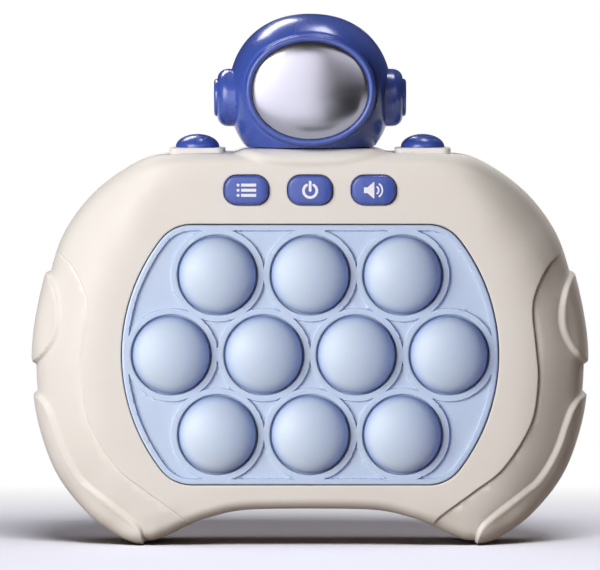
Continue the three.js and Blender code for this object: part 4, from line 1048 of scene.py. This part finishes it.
def makeScrew(name, node, bodyName, head, top, seat, shank, tip, pitch):
    # a pan head with a cross recess, and a shank that has a thread unless pitch is 0
    at = middleOf(node)[[0, 2]]
    rim = circleLoop(*at, head, 56)
    cross = dense(crossLoop(*[head * screw[part] for part in ("reach", "arm", "corner")]) + at, 0.14)
    rows = edgeRows(cross, [0] + bothSides((0.06, 0.14))) + edgeRows(rim, bothSides((0.06, 0.14, 0.26, 0.42)))
    rows = [row[inside(row, rim)] for row in rows]

    def surface(places):
        away = np.hypot(*(places - at).T) / head
        depth = screw["crown"] * away ** 2 + eased(nearest(places, rim)[0], screw["edge"])
        share = eases(signedInside(places, cross) / screw["recessRamp"])
        depth += share * (screw["recess"] - screw["recessRise"] * away / screw["reach"])
        return np.stack([places[:, 0], top - depth, places[:, 1]], 1)

    bm = flatRegion([rim], rows, 0.3, surface, False)

    def ringAt(radius, y, deep=0):
        # moves a ring of the shank to a radius and a depth; deep is the thread's
        def move(points):
            turns = np.arctan2(points[:, 2] - at[1], points[:, 0] - at[0])
            wave = np.abs(2 * ((y / (pitch or 1) - turns / (2 * pi)) % 1) - 1)
            spread = radius - deep * wave
            places = [at[0] + spread * np.cos(turns), np.full(len(turns), y), at[1] + spread * np.sin(turns)]
            return np.stack(places, 1)
        return move

    walled(bm, ringAt(head, seat))
    walled(bm, ringAt(shank, seat))
    depths = np.arange(seat - screw["neck"], tip + shank, -pitch / 8) if pitch else [tip + shank]
    for y in depths:
        walled(bm, ringAt(shank, y, screw["threadDepth"] if pitch else 0))
    walled(bm, ringAt(shank * 0.25, tip))
    bmesh.ops.edgeloop_fill(bm, edges=[edge for edge in bm.edges if edge.is_boundary])
    bmesh.ops.recalc_face_normals(bm, faces=bm.faces)
    newPiece(name, bm, bodyName, ("steel", steelFinish), [node])


cell = dict(step=0.8, split=0.62, crimp=0.4, neck=4.1)


def makeCell(number):
    # sleeve and band crimped over the ends, a bare steel base and a stepped steel button
    node, side = f"battery_{number}", plusSides[number - 1]
    middle = middleOf(node)
    low, high = boxOf(node)
    half, radius = (high[0] - low[0]) / 2, (high[2] - low[2]) / 2
    start, end, split = -half, half - cell["step"], half * cell["split"]
    crimp, neck = cell["crimp"], cell["neck"]
    sleeve = [(neck, start + 0.16), (neck + 0.15, start)]
    sleeve += arc((radius - crimp, start + crimp), crimp, -90, 0, 6) + [(radius, split)]
    band = [(radius, split)] + arc((radius - crimp, end - crimp), crimp, 0, 90, 6)
    band += [(neck, end), (neck - 0.15, end - 0.14)]
    base = [(0, start + 0.1), (3.4, start + 0.1), (3.7, start + 0.2), (4.4, start + 0.2)]
    knob = [(4.3, end - 0.16), (2.9, end - 0.16), (2.75, end + 0.05)]
    knob += arc((2.25, end + 0.45), 0.35, 0, 90, 5) + [(0, half)]
    for label, profile, material in (("Sleeve", sleeve, cellSleeve), ("Band", band, cellBand),
                                     ("Base", base, steelFinish), ("Button", knob, steelFinish)):
        bm = turnedForm([(away, side * place) for away, place in profile], middle, "x", 64)
        # an open form doesn't show which side is out, so its faces are turned away from the cell's middle
        outward = sum((face.calc_center_median() - Vector(middle)).dot(face.normal) for face in bm.faces)
        if outward < 0:
            bmesh.ops.reverse_faces(bm, faces=bm.faces)
        replaced = [node] if label == "Sleeve" else ()
        newPiece(f"cell{label}_{number}", bm, "housing", ("cell_sleeve", material), replaced)


makeDoor()
makeTray()
makeScrew("doorScrew", "battery_door_screw", "battery_door_screw", 2.28, 21.85, 20.88, 1.18, 13.3, 0.8)
for number in range(1, 5):
    makeScrew(f"caseScrew_{number}", f"case_screw_{number}", "housing", 2.42, 16.1, 14.02, 1.3, -5, 0)
for number in range(1, 4):
    makeCell(number)
print("back fittings made")


# Pieces kept as imported, given their finishes

carried = {"retainer_plate": blackPlastic, "main_board": boardLaminate, "speaker": blackPlastic}
carried.update({f"led_{number}": lampResin for number in range(1, 11)})
carried.update({f"board_screw_{number}": steelFinish for number in range(1, 5)})
carried.update({f"{name}_switch": blackPlastic for name in ("menu", "power", "sound")})
carried.update({f"shoulder_switch_{side}": blackPlastic for side in ("left", "right")})
carried.update({f"contact_{name}": steelFinish for name in ("minus", "plus", "bridge_left", "bridge_right")})
for name, material in carried.items():
    mesh = bpy.data.objects[name].data
    mesh.materials.clear()
    mesh.materials.append(material)


# Bubble panel

sheet = dict(rimWidth=1.5, rimFront=-16.5, pocketFloor=-15.6, ringRadius=12.85, holeRadius=11.15,
             edgeGap=0.28, rimRound=0.45, pocketSlope=0.16, holeRound=0.4, back=-12.6, wallThickness=0.9,
             ringCount=130, holeCount=110)
bubbleNames = [f"bubble_{number}" for number in range(1, 11)]
bubbleCentres = [middleOf(name)[[0, 2]] for name in bubbleNames]


def makeSheet():
    edge = barrelLoop(-sheet["edgeGap"], 0.7)
    rimInner = barrelLoop(-sheet["rimWidth"] - sheet["edgeGap"], 0.7)
    holes = [circleLoop(x, z, sheet["holeRadius"], sheet["holeCount"]) for x, z in bubbleCentres]
    rows = edgeRows(edge, bothSides((0.05, 0.14, 0.25, 0.36, 0.45, 0.9)))
    rows += edgeRows(rimInner, [0] + bothSides((0.04, 0.08, 0.12, 0.16, 0.45)))
    for x, z in bubbleCentres:
        rows += [circleLoop(x, z, sheet["holeRadius"] + step, sheet["holeCount"])
                 for step in (0.05, 0.14, 0.26, 0.4, 0.8, 1.2)]
        rows += [circleLoop(x, z, sheet["ringRadius"] + step, sheet["ringCount"])
                 for step in (-0.45, -0.2, 0, 0.04, 0.08, 0.12, 0.16, 0.45)]
    grid = gridPoints(np.arange(-52, 52.1, 1.1), np.arange(17, 90, 1.1))

    def keep(points):
        kept = inside(points, edge)
        for x, z in bubbleCentres:
            kept &= np.hypot(points[:, 0] - x, points[:, 1] - z) > sheet["holeRadius"] - touching
        return kept

    def surface(places):
        # sunk pockets wherever a point is clear of the rim and of every ring
        clear = signedInside(places, rimInner)
        drop = np.zeros(len(places))
        for x, z in bubbleCentres:
            away = np.hypot(places[:, 0] - x, places[:, 1] - z)
            clear = np.minimum(clear, away - sheet["ringRadius"])
            drop += eased((away - sheet["holeRadius"]).clip(0), sheet["holeRound"])
        drop += (sheet["pocketFloor"] - sheet["rimFront"]) * eases(clear / sheet["pocketSlope"])
        drop += eased(nearest(places, edge)[0], sheet["rimRound"])
        return np.stack([places[:, 0], sheet["rimFront"] + drop, places[:, 1]], 1)

    near = [row[inside(row, edge)] for row in rows]
    places, faces = filledRegion([edge] + holes, [], near, [grid[inside(grid, edge)]], keep, 0.3)
    bm = reliefMesh(places, faces, surface)

    def moveTo(points):
        targets = points.copy()
        targets[:, 1] = sheet["back"]
        return targets

    walled(bm, moveTo)
    panel = newPiece("bubblePanel", bm, "housing", ("pale_blue_silicone", blueSilicone), ["bubble_sheet"], 60)
    thickened(panel, sheet["wallThickness"])


dome = dict(radius=10.6, top=-22.0, base=-16.3, fullness=0.92, flareRadius=11.08, flareFoot=-16.1,
            flareTop=-15.2, skirtEnd=-13.05, skin=1.5, steps=96)


def makeBubbles():
    # a dome whose edge flares out into its skirt, hollow inside
    rise, wider = dome["base"] - dome["top"], dome["flareRadius"] - dome["radius"]
    taller = dome["flareTop"] - dome["flareFoot"]
    inner = dome["radius"] - dome["skin"]
    profile = []
    for turn in np.linspace(0, pi / 2, 17):
        height = rise * max(cos(turn), 0) ** dome["fullness"]
        profile.append((dome["radius"] * sin(turn), dome["base"] - height))
    for inset, drop in roundSteps(5, wider, taller):
        profile.append((dome["radius"] + inset, dome["flareTop"] - drop))
    profile += [(dome["flareRadius"], dome["skirtEnd"]), (inner, dome["skirtEnd"])]
    for turn in np.linspace(pi / 2, 0, 5):
        profile.append((inner * sin(turn), dome["base"] - (rise - dome["skin"]) * cos(turn)))
    for name, (x, z) in zip(bubbleNames, bubbleCentres):
        bm = turnedForm(profile, (x, 0, z), "y", dome["steps"])
        pieceName = name.replace("bubble_", "bubbleDome")
        newPiece(pieceName, bm, name, ("pale_blue_silicone", bubbleSilicone), [name], 50)


makeSheet()
makeBubbles()
print("bubble panel made")


# Function buttons and their printed signs


def capRings(x, z):
    # from the hidden flange over the rounded edge to a slightly domed face
    flange, edge, front = button["flange"], button["edge"], button["front"]
    stations = [(-flange, button["back"]), (-flange, button["flangeFront"] + 0.1), (0, button["flangeFront"])]
    stations += [(inset, front + drop) for inset, drop in roundSteps(6, edge, edge)]
    stations += [(edge + inset, front - rise) for inset, rise in button["faceSteps"]]
    rings = []
    for inset, y in stations:
        sizes = button["halfWidth"] - inset, button["halfHeight"] - inset, max(button["corner"] - inset, 0.3)
        rings.append(atDepth(roundedLoop(x, z, *sizes), y))
    return rings


sign = dict(face=-17.42, depth=0.12)


def signPlate(loop):
    return plateForm(loop, sign["face"], sign["face"] + sign["depth"], 0.03, 1)


def arcBand(x, z, radius, width, start, end):
    # a curved stroke with round ends
    def spot(reach, turn):
        return np.array([cos(turn), sin(turn)]) * reach

    half = width / 2
    turns = np.radians(np.linspace(start, end, 25))
    points = [spot(radius + half, turn) for turn in turns]
    points += [spot(radius, turns[-1]) + spot(half, turns[-1] + part * pi / 6) for part in range(1, 6)]
    points += [spot(radius - half, turn) for turn in turns[::-1]]
    points += [spot(radius, turns[0]) + spot(half, turns[0] + pi + part * pi / 6) for part in range(1, 6)]
    return np.array(points) + [x, z]


def menuSign(x, z):
    forms = []
    for row in (-1, 0, 1):
        forms.append(signPlate(roundedLoop(x + 0.62, z + row * 1.42, 2.1, 0.42, 0.12, 3)))
        forms.append(signPlate(roundedLoop(x - 2.3, z + row * 1.42, 0.42, 0.42, 0.41, 4)))
    return joined(*forms)


def powerSign(x, z):
    ring = arcBand(x, z - 0.15, 1.85, 0.78, 122, 418)
    bar = roundedLoop(x, z + 1.1, 0.39, 1.55, 0.38, 4)
    return joined(signPlate(ring), signPlate(bar))


def soundSign(x, z):
    lower = np.array([(-2.75, -0.8), (-1.75, -0.8), (-0.05, -2.3), (0.15, -2.2)])
    horn = np.vstack([lower, lower[::-1] * [1, -1]]) + [x, z]
    waves = [arcBand(x + 0.2, z, radius, 0.5, -52, 52) for radius in (1.15, 2.15)]
    return joined(signPlate(horn), *[signPlate(wave) for wave in waves])


def makeButtons():
    kinds = [("menu_button", "menuCap", menuSign), ("power_button", "powerCap", powerSign),
             ("sound_button", "soundCap", soundSign)]
    for (x, z), (node, name, signOf) in zip(buttonCentres, kinds):
        bm = ringForm(capRings(x, z), startCap=True, endCap=True)
        newPiece(name, bm, node, indigo, [node], 50)
        newPiece(name.replace("Cap", "Sign"), signOf(x, z), node, ("indigo_plastic", whiteInk))


shoulder = dict(radius=6.08, base=110.25, foot=105.6, flange=1.1, flangeFoot=104.4)


def makeShoulders():
    for side in ("left", "right"):
        node = f"shoulder_button_{side}"
        middle, top = middleOf(node), boxOf(node)[1][2]
        radius, wide = shoulder["radius"], shoulder["radius"] + shoulder["flange"]
        turns = [at * pi / 40 for at in range(21)]
        profile = [(radius * sin(t), shoulder["base"] + (top - shoulder["base"]) * cos(t)) for t in turns]
        profile += [(radius, shoulder["foot"]), (wide, shoulder["foot"]), (wide, shoulder["flangeFoot"]),
                    (0, shoulder["flangeFoot"])]
        bm = turnedForm(profile, (middle[0], middle[1], 0), "z", 72)
        newPiece(f"shoulder{side.title()}", bm, node, indigo, [node], 50)


makeButtons()
makeShoulders()
print("buttons made")


# Collars round the shoulder buttons

collar = dict(half=7.75, corner=2.4, top=110.15, foot=104.4, edge=0.45, hole=6.4, holeEdge=0.25,
              holeEnd=107.5)


def makeCollars():
    top, hole, holeEdge = collar["top"], collar["hole"], collar["holeEdge"]
    outer = dense(roundedLoop(0, 0, collar["half"], collar["half"], collar["corner"], 14), 0.5)
    stations = [(0, collar["foot"])]
    stations += [(inset, top - drop) for inset, drop in roundSteps(5, collar["edge"], collar["edge"])]
    for side in ("left", "right"):
        middle = [middleOf(f"shoulder_button_{side}")[0], body["partY"]]
        rings = []
        for inset, z in stations:
            rings.append([(x, y, z) for x, y in outer * (1 - inset / collar["half"]) + middle])
        turns = np.arctan2(outer[:, 1], outer[:, 0])
        for radius, z in ((hole + holeEdge, top), (hole, top - holeEdge), (hole, collar["holeEnd"])):
            rings.append([(middle[0] + radius * cos(t), middle[1] + radius * sin(t), z) for t in turns])
        newPiece(f"collar_{side}", ringForm(rings), "housing", beige)


# Helmet

helmet = dict(halfWidth=22.6, halfDepth=20, squareness=2.18, halfHeight=22.3, centre=(0, 1, 125), base=110.4,
              seam=1, seamGap=0.12, visorCentre=126.3, visorHalfWidth=16.3, visorHalfHeight=13.7,
              power=2.05, lipWidth=1.55, lipFront=-17.4, lipRound=0.75, lipFlare=0.7, lipInner=0.5,
              visorEdge=-16.7, visorBulge=2.6, visorGap=0.02, ledge=-14.2, ledgeWidth=1.6,
              wallThickness=0.8, steps=144)


def visorLoop(grow):
    # a squared ellipse round the visor
    turns = np.arange(helmet["steps"]) * 2 * pi / helmet["steps"]
    loop = []
    for wave, half in ((np.cos(turns), helmet["visorHalfWidth"]), (np.sin(turns), helmet["visorHalfHeight"])):
        loop.append(np.sign(wave) * np.abs(wave) ** (2 / helmet["power"]) * (half + grow))
    return np.stack([loop[0], helmet["visorCentre"] + loop[1]], 1)


def helmetShare(places):
    # 0 at the helmet's middle, 1 on its outline seen from the front
    fromMiddle = np.abs(places - [0, helmet["centre"][2]]) / [helmet["halfWidth"], helmet["halfHeight"]]
    return (fromMiddle ** helmet["squareness"]).sum(1) ** (1 / helmet["squareness"])


def silhouetteLoop():
    # where rays from the visor's middle through its edge leave the helmet's outline or its flat foot
    middle = np.array([0, helmet["visorCentre"]])
    loop = []
    for ray in visorLoop(0) - middle:
        low, high = 1.0, 3.0
        for _ in range(40):
            reach = (low + high) / 2
            if helmetShare((middle + ray * reach)[None])[0] < 1:
                low = reach
            else:
                high = reach
        if helmet["visorCentre"] + ray[1] * low < helmet["base"]:
            low = (helmet["base"] - helmet["visorCentre"]) / ray[1]
        loop.append(middle + ray * low)
    return np.array(loop)


def helmetDepth(places, side):
    share = 1 - helmetShare(places) ** 2
    y = helmet["centre"][1] + side * helmet["halfDepth"] * np.sqrt(share.clip(0))
    gap = helmet["seam"] + side * helmet["seamGap"]
    return np.maximum(y, gap) if side > 0 else np.minimum(y, gap)


def atDepths(flat, depths):
    return [(x, y, z) for (x, z), y in zip(flat, depths)]


def helmetPiece(name, rings, node):
    shell = newPiece(name, ringForm(rings), "housing", indigo, [node], 50)
    thickened(shell, helmet["wallThickness"])


def lipLoop(flare):
    flat = visorLoop(helmet["lipWidth"] + helmet["lipFlare"] * flare)
    flat[:, 1] = flat[:, 1].clip(helmet["base"] + 0.05)
    return flat


def makeHelmetFront(silhouette):
    # from the silhouette in to the foot of the visor's lip, over the lip and back to the visor's ledge
    rings = []
    for at in range(15):
        # close together towards the silhouette, where the surface turns away
        share = 1 - cos(at * pi / 28)
        flat = silhouette * (1 - share) + lipLoop(1) * share
        rings.append(atDepths(flat, helmetDepth(flat, -1)))
    foot = np.array(rings[-1])[:, 1]
    lip, front, inner, gap = [helmet[part] for part in ("lipRound", "lipFront", "lipInner", "visorGap")]
    for at in range(1, 9):
        rings.append(atDepths(lipLoop((1 - at / 8) ** 2), foot + (front + lip - foot) * (at / 8) ** 2.4))
    for inset, drop in roundSteps(6, lip, lip)[1:]:
        rings.append(atDepth(visorLoop(helmet["lipWidth"] - inset), front + drop))
    for drop, inset in roundSteps(4, inner, inner)[1:]:
        rings.append(atDepth(visorLoop(gap + inset), front + drop))
    rings += [atDepth(visorLoop(grow), helmet["ledge"]) for grow in (gap, -helmet["ledgeWidth"])]
    helmetPiece("helmetFront", rings, "helmet_front")


def makeHelmetRear(silhouette):
    pole = np.array([0, helmet["centre"][2]])
    rings = []
    for at in range(19):
        flat = pole + (silhouette - pole) * cos(at * pi / 36)
        flat[:, 1] = flat[:, 1].clip(helmet["base"])
        rings.append(atDepths(flat, helmetDepth(flat, 1)))
    helmetPiece("helmetRear", rings, "helmet_rear")


def makeVisor():
    middle = [0, helmet["visorCentre"]]
    rings = [atDepth(visorLoop(0), y) for y in (helmet["ledge"] - 0.05, helmet["visorEdge"])]
    for turn in [at * pi / 30 for at in range(16)]:
        flat = (visorLoop(-helmet["visorGap"]) - middle) * cos(turn) + middle
        rings.append(atDepth(flat, helmet["visorEdge"] - helmet["visorBulge"] * sin(turn)))
    bm = ringForm(rings, startCap=True)
    newPiece("visorGlass", bm, "housing", ("visor_mirror", visorMirror), ["visor"], 60)


def makeHelmet():
    silhouette = silhouetteLoop()
    makeHelmetFront(silhouette)
    makeHelmetRear(silhouette)
    makeVisor()


earCup = dict(inner=18.6, step=1, bevel=(2.6, 3), stepRadius=5.3, stepRise=0.08, rollRadius=4.4, roll=0.85,
              flatRadius=2.5)


def makeEarCups():
    # a bevelled drum with a smaller rolled disc on it
    for side, node in ((-1, "ear_cup_left"), (1, "ear_cup_right")):
        low, high = boxOf(node)
        radius, height = (high[2] - low[2]) / 2, (high[2] + low[2]) / 2
        reach = max(abs(low[0]), abs(high[0]))
        face = reach - earCup["step"]
        profile = [(0, earCup["inner"]), (radius, earCup["inner"])]
        profile += [(radius - inset, face - drop) for inset, drop in roundSteps(10, *earCup["bevel"])]
        profile.append((earCup["stepRadius"], face + earCup["stepRise"]))
        profile += arc((earCup["rollRadius"], reach - earCup["roll"]), earCup["roll"], 0, 90, 6)
        profile += [(earCup["flatRadius"], reach), (0, reach)]
        profile = [(away, side * place) for away, place in profile]
        bm = turnedForm(profile, (0, helmet["centre"][1], height), "x", 72)
        name = node.replace("ear_cup_", "earCup_")
        newPiece(name, bm, "housing", indigo, [node], 50)


makeCollars()
makeHelmet()
makeEarCups()
print("helmet made")


# Floor, light and camera

stage = dict(ambient=0.045, world=(240, 208, 178), floorLit=(120, 106, 94), floorSeen=(230, 230, 236),
             floorHalf=6, glowFrom=0.09, glowTo=0.25)


def blankMaterial(name):
    material = bpy.data.materials.new(name)
    material.use_nodes = True
    return material, material.node_tree


def makeFloor():
    # pale where it is seen, darker for the light it throws back, and white with distance like the world
    material, tree = blankMaterial("paleFloor")
    shader = tree.nodes["Principled BSDF"]
    shader.inputs["Roughness"].default_value = 0.8
    shader.inputs["Specular IOR Level"].default_value = 0.1
    place = linked(tree, "ShaderNodeTexCoord").outputs["Object"]
    apart = linked(tree, "ShaderNodeSeparateXYZ", links={"Vector": place})
    far = mapped(tree, apart.outputs["Y"], stage["glowFrom"], stage["glowTo"], 0, 1)
    path = linked(tree, "ShaderNodeLightPath")
    seen = linked(tree, "ShaderNodeMath", {"operation": "MAXIMUM"},
                  links={0: path.outputs["Is Camera Ray"], 1: path.outputs["Is Glossy Ray"]}).outputs[0]
    tone = mixed(tree, seen, shade(*stage["floorLit"]), shade(*stage["floorSeen"]))
    tree.links.new(tone, shader.inputs["Base Color"])
    glow = linked(tree, "ShaderNodeEmission", values={"Color": (1, 1, 1, 1), "Strength": 1})
    blend = linked(tree, "ShaderNodeMixShader",
                   links={0: multiplied(tree, seen, far), 1: shader.outputs[0], 2: glow.outputs[0]})
    tree.links.new(blend.outputs[0], tree.nodes["Material Output"].inputs["Surface"])
    bm = bmesh.new()
    bmesh.ops.create_grid(bm, x_segments=2, y_segments=2, size=stage["floorHalf"])
    return stagePiece("floor", bm, material)


def stagePiece(name, bm, material):
    mesh = bpy.data.meshes.new(name)
    bm.to_mesh(mesh)
    bm.free()
    mesh.materials.append(material)
    piece = bpy.data.objects.new(name, mesh)
    scene.collection.objects.link(piece)
    return piece


def makeWorld():
    world = bpy.data.worlds.new("studio")
    scene.world = world
    world.use_nodes = True
    tree = world.node_tree
    back = tree.nodes["Background"]
    seen = linked(tree, "ShaderNodeLightPath").outputs["Is Camera Ray"]
    tree.links.new(mixed(tree, seen, shade(*stage["world"]), (1, 1, 1, 1)), back.inputs["Color"])
    tree.links.new(mapped(tree, seen, 0, 1, stage["ambient"], 1), back.inputs["Strength"])


def addLamp(name, place, aim, size, power, colour, state, pieces):
    # a soft box aimed at a height over the middle; by the state, these pieces alone take its light or miss it
    lamp = bpy.data.lights.new(name, "AREA")
    lamp.shape = "RECTANGLE"
    lamp.size, lamp.size_y = size
    lamp.energy = power
    lamp.color = colour
    made = bpy.data.objects.new(name, lamp)
    made.location = place
    made.rotation_euler = (Vector((0, 0, aim)) - Vector(place)).to_track_quat("-Z", "Y").to_euler()
    made.visible_camera = False
    scene.collection.objects.link(made)
    lit = bpy.data.collections.new(name + "Lights")
    for piece in pieces:
        lit.objects.link(piece)
    for entry in lit.collection_objects:
        entry.light_linking.link_state = state
    made.light_linking.receiver_collection = lit
    return made


def addCard(name, place, size, low, high):
    # a card that only shows in reflections, its glow rising from low at its foot to high at its top
    material, tree = blankMaterial(name)
    tree.nodes.remove(tree.nodes["Principled BSDF"])
    apart = linked(tree, "ShaderNodeSeparateXYZ",
                   links={"Vector": linked(tree, "ShaderNodeTexCoord").outputs["Object"]})
    strength = mapped(tree, apart.outputs["Y"], -size[1] / 2, size[1] / 2, low, high)
    glow = linked(tree, "ShaderNodeEmission", values={"Color": shade(246, 244, 255)},
                  links={"Strength": strength})
    tree.links.new(glow.outputs[0], tree.nodes["Material Output"].inputs["Surface"])
    bm = bmesh.new()
    corners = [(x * size[0] / 2, y * size[1] / 2, 0) for x, y in ((-1, -1), (1, -1), (1, 1), (-1, 1))]
    bm.faces.new([bm.verts.new(corner) for corner in corners])
    card = stagePiece(name, bm, material)
    card.location = place
    card.rotation_euler = (Vector((0, 0, 0.1)) - Vector(place)).to_track_quat("Z", "Y").to_euler()
    card.visible_camera = card.visible_diffuse = card.visible_shadow = False


camera = dict(distance=2.6, elevation=2.4, centre=(-0.0028, -0.008, 0.0722), widthSeen=0.1664)


def makeCamera():
    made = bpy.data.objects.new("camera", bpy.data.cameras.new("camera"))
    made.data.sensor_width = 36
    made.data.lens = 36 * camera["distance"] / camera["widthSeen"]
    tilt = radians(camera["elevation"])
    away = Vector((0, -cos(tilt), sin(tilt))) * camera["distance"]
    made.location = Vector(camera["centre"]) + away
    made.rotation_euler = (-away).to_track_quat("-Z", "Y").to_euler()
    made.data.clip_end = 40
    scene.collection.objects.link(made)
    scene.camera = made


floor = makeFloor()
makeWorld()
silicone = [piece for piece in scene.objects if piece.name.startswith(("bubblePanel", "bubbleDome"))]
warm, cool = (1, 0.99, 0.978), (0.97, 0.97, 1)
addLamp("key", (-0.58, -0.8, 0.44), 0.06, (0.55, 0.55), 12.2, warm, "EXCLUDE", [floor] + silicone)
addLamp("siliconeKey", (-0.78, -0.76, 0.24), 0.06, (0.65, 0.65), 19.2, warm, "INCLUDE", silicone)
backFill = addLamp("backFill", (0.45, 0.85, 0.75), 0.07, (0.9, 0.7), 15, (1, 0.99, 0.98), "EXCLUDE", [floor])
backFill.visible_glossy = False
addLamp("blueFill", (0.8, -0.42, -0.02), 0.06, (0.5, 0.5), 3.4, (0.02, 0.24, 1), "INCLUDE", silicone)
addLamp("floorKey", (0.1, -0.75, 0.92), 0.03, (0.55, 0.45), 15, cool, "INCLUDE", [floor])
addLamp("floorFill", (0, -0.3, 1.2), 0, (1.6, 1.2), 4.2, (0.84, 0.84, 1), "INCLUDE", [floor])
addCard("whiteCard", (-0.13, -0.31, 0.155), (0.34, 0.28), 2.3, 2.55)
addCard("greyCard", (0.17, -0.3, 0.245), (0.24, 0.24), 0.1, 1.9)
addCard("darkCard", (0.11, -0.3, 0.05), (0.16, 0.1), 0, 0)
addCard("darkStrip", (0.012, -0.16, 0.04), (0.06, 0.02), 0, 0)
addCard("streakCard", (-0.15, 0.25, 0.43), (0.23, 0.1), 13, 13)
addCard("spotCard", (0.068, 0.05, 0.53), (0.15, 0.09), 16, 16)
makeCamera()
scene.view_settings.view_transform = "Standard"
print("stage, lights and camera set")
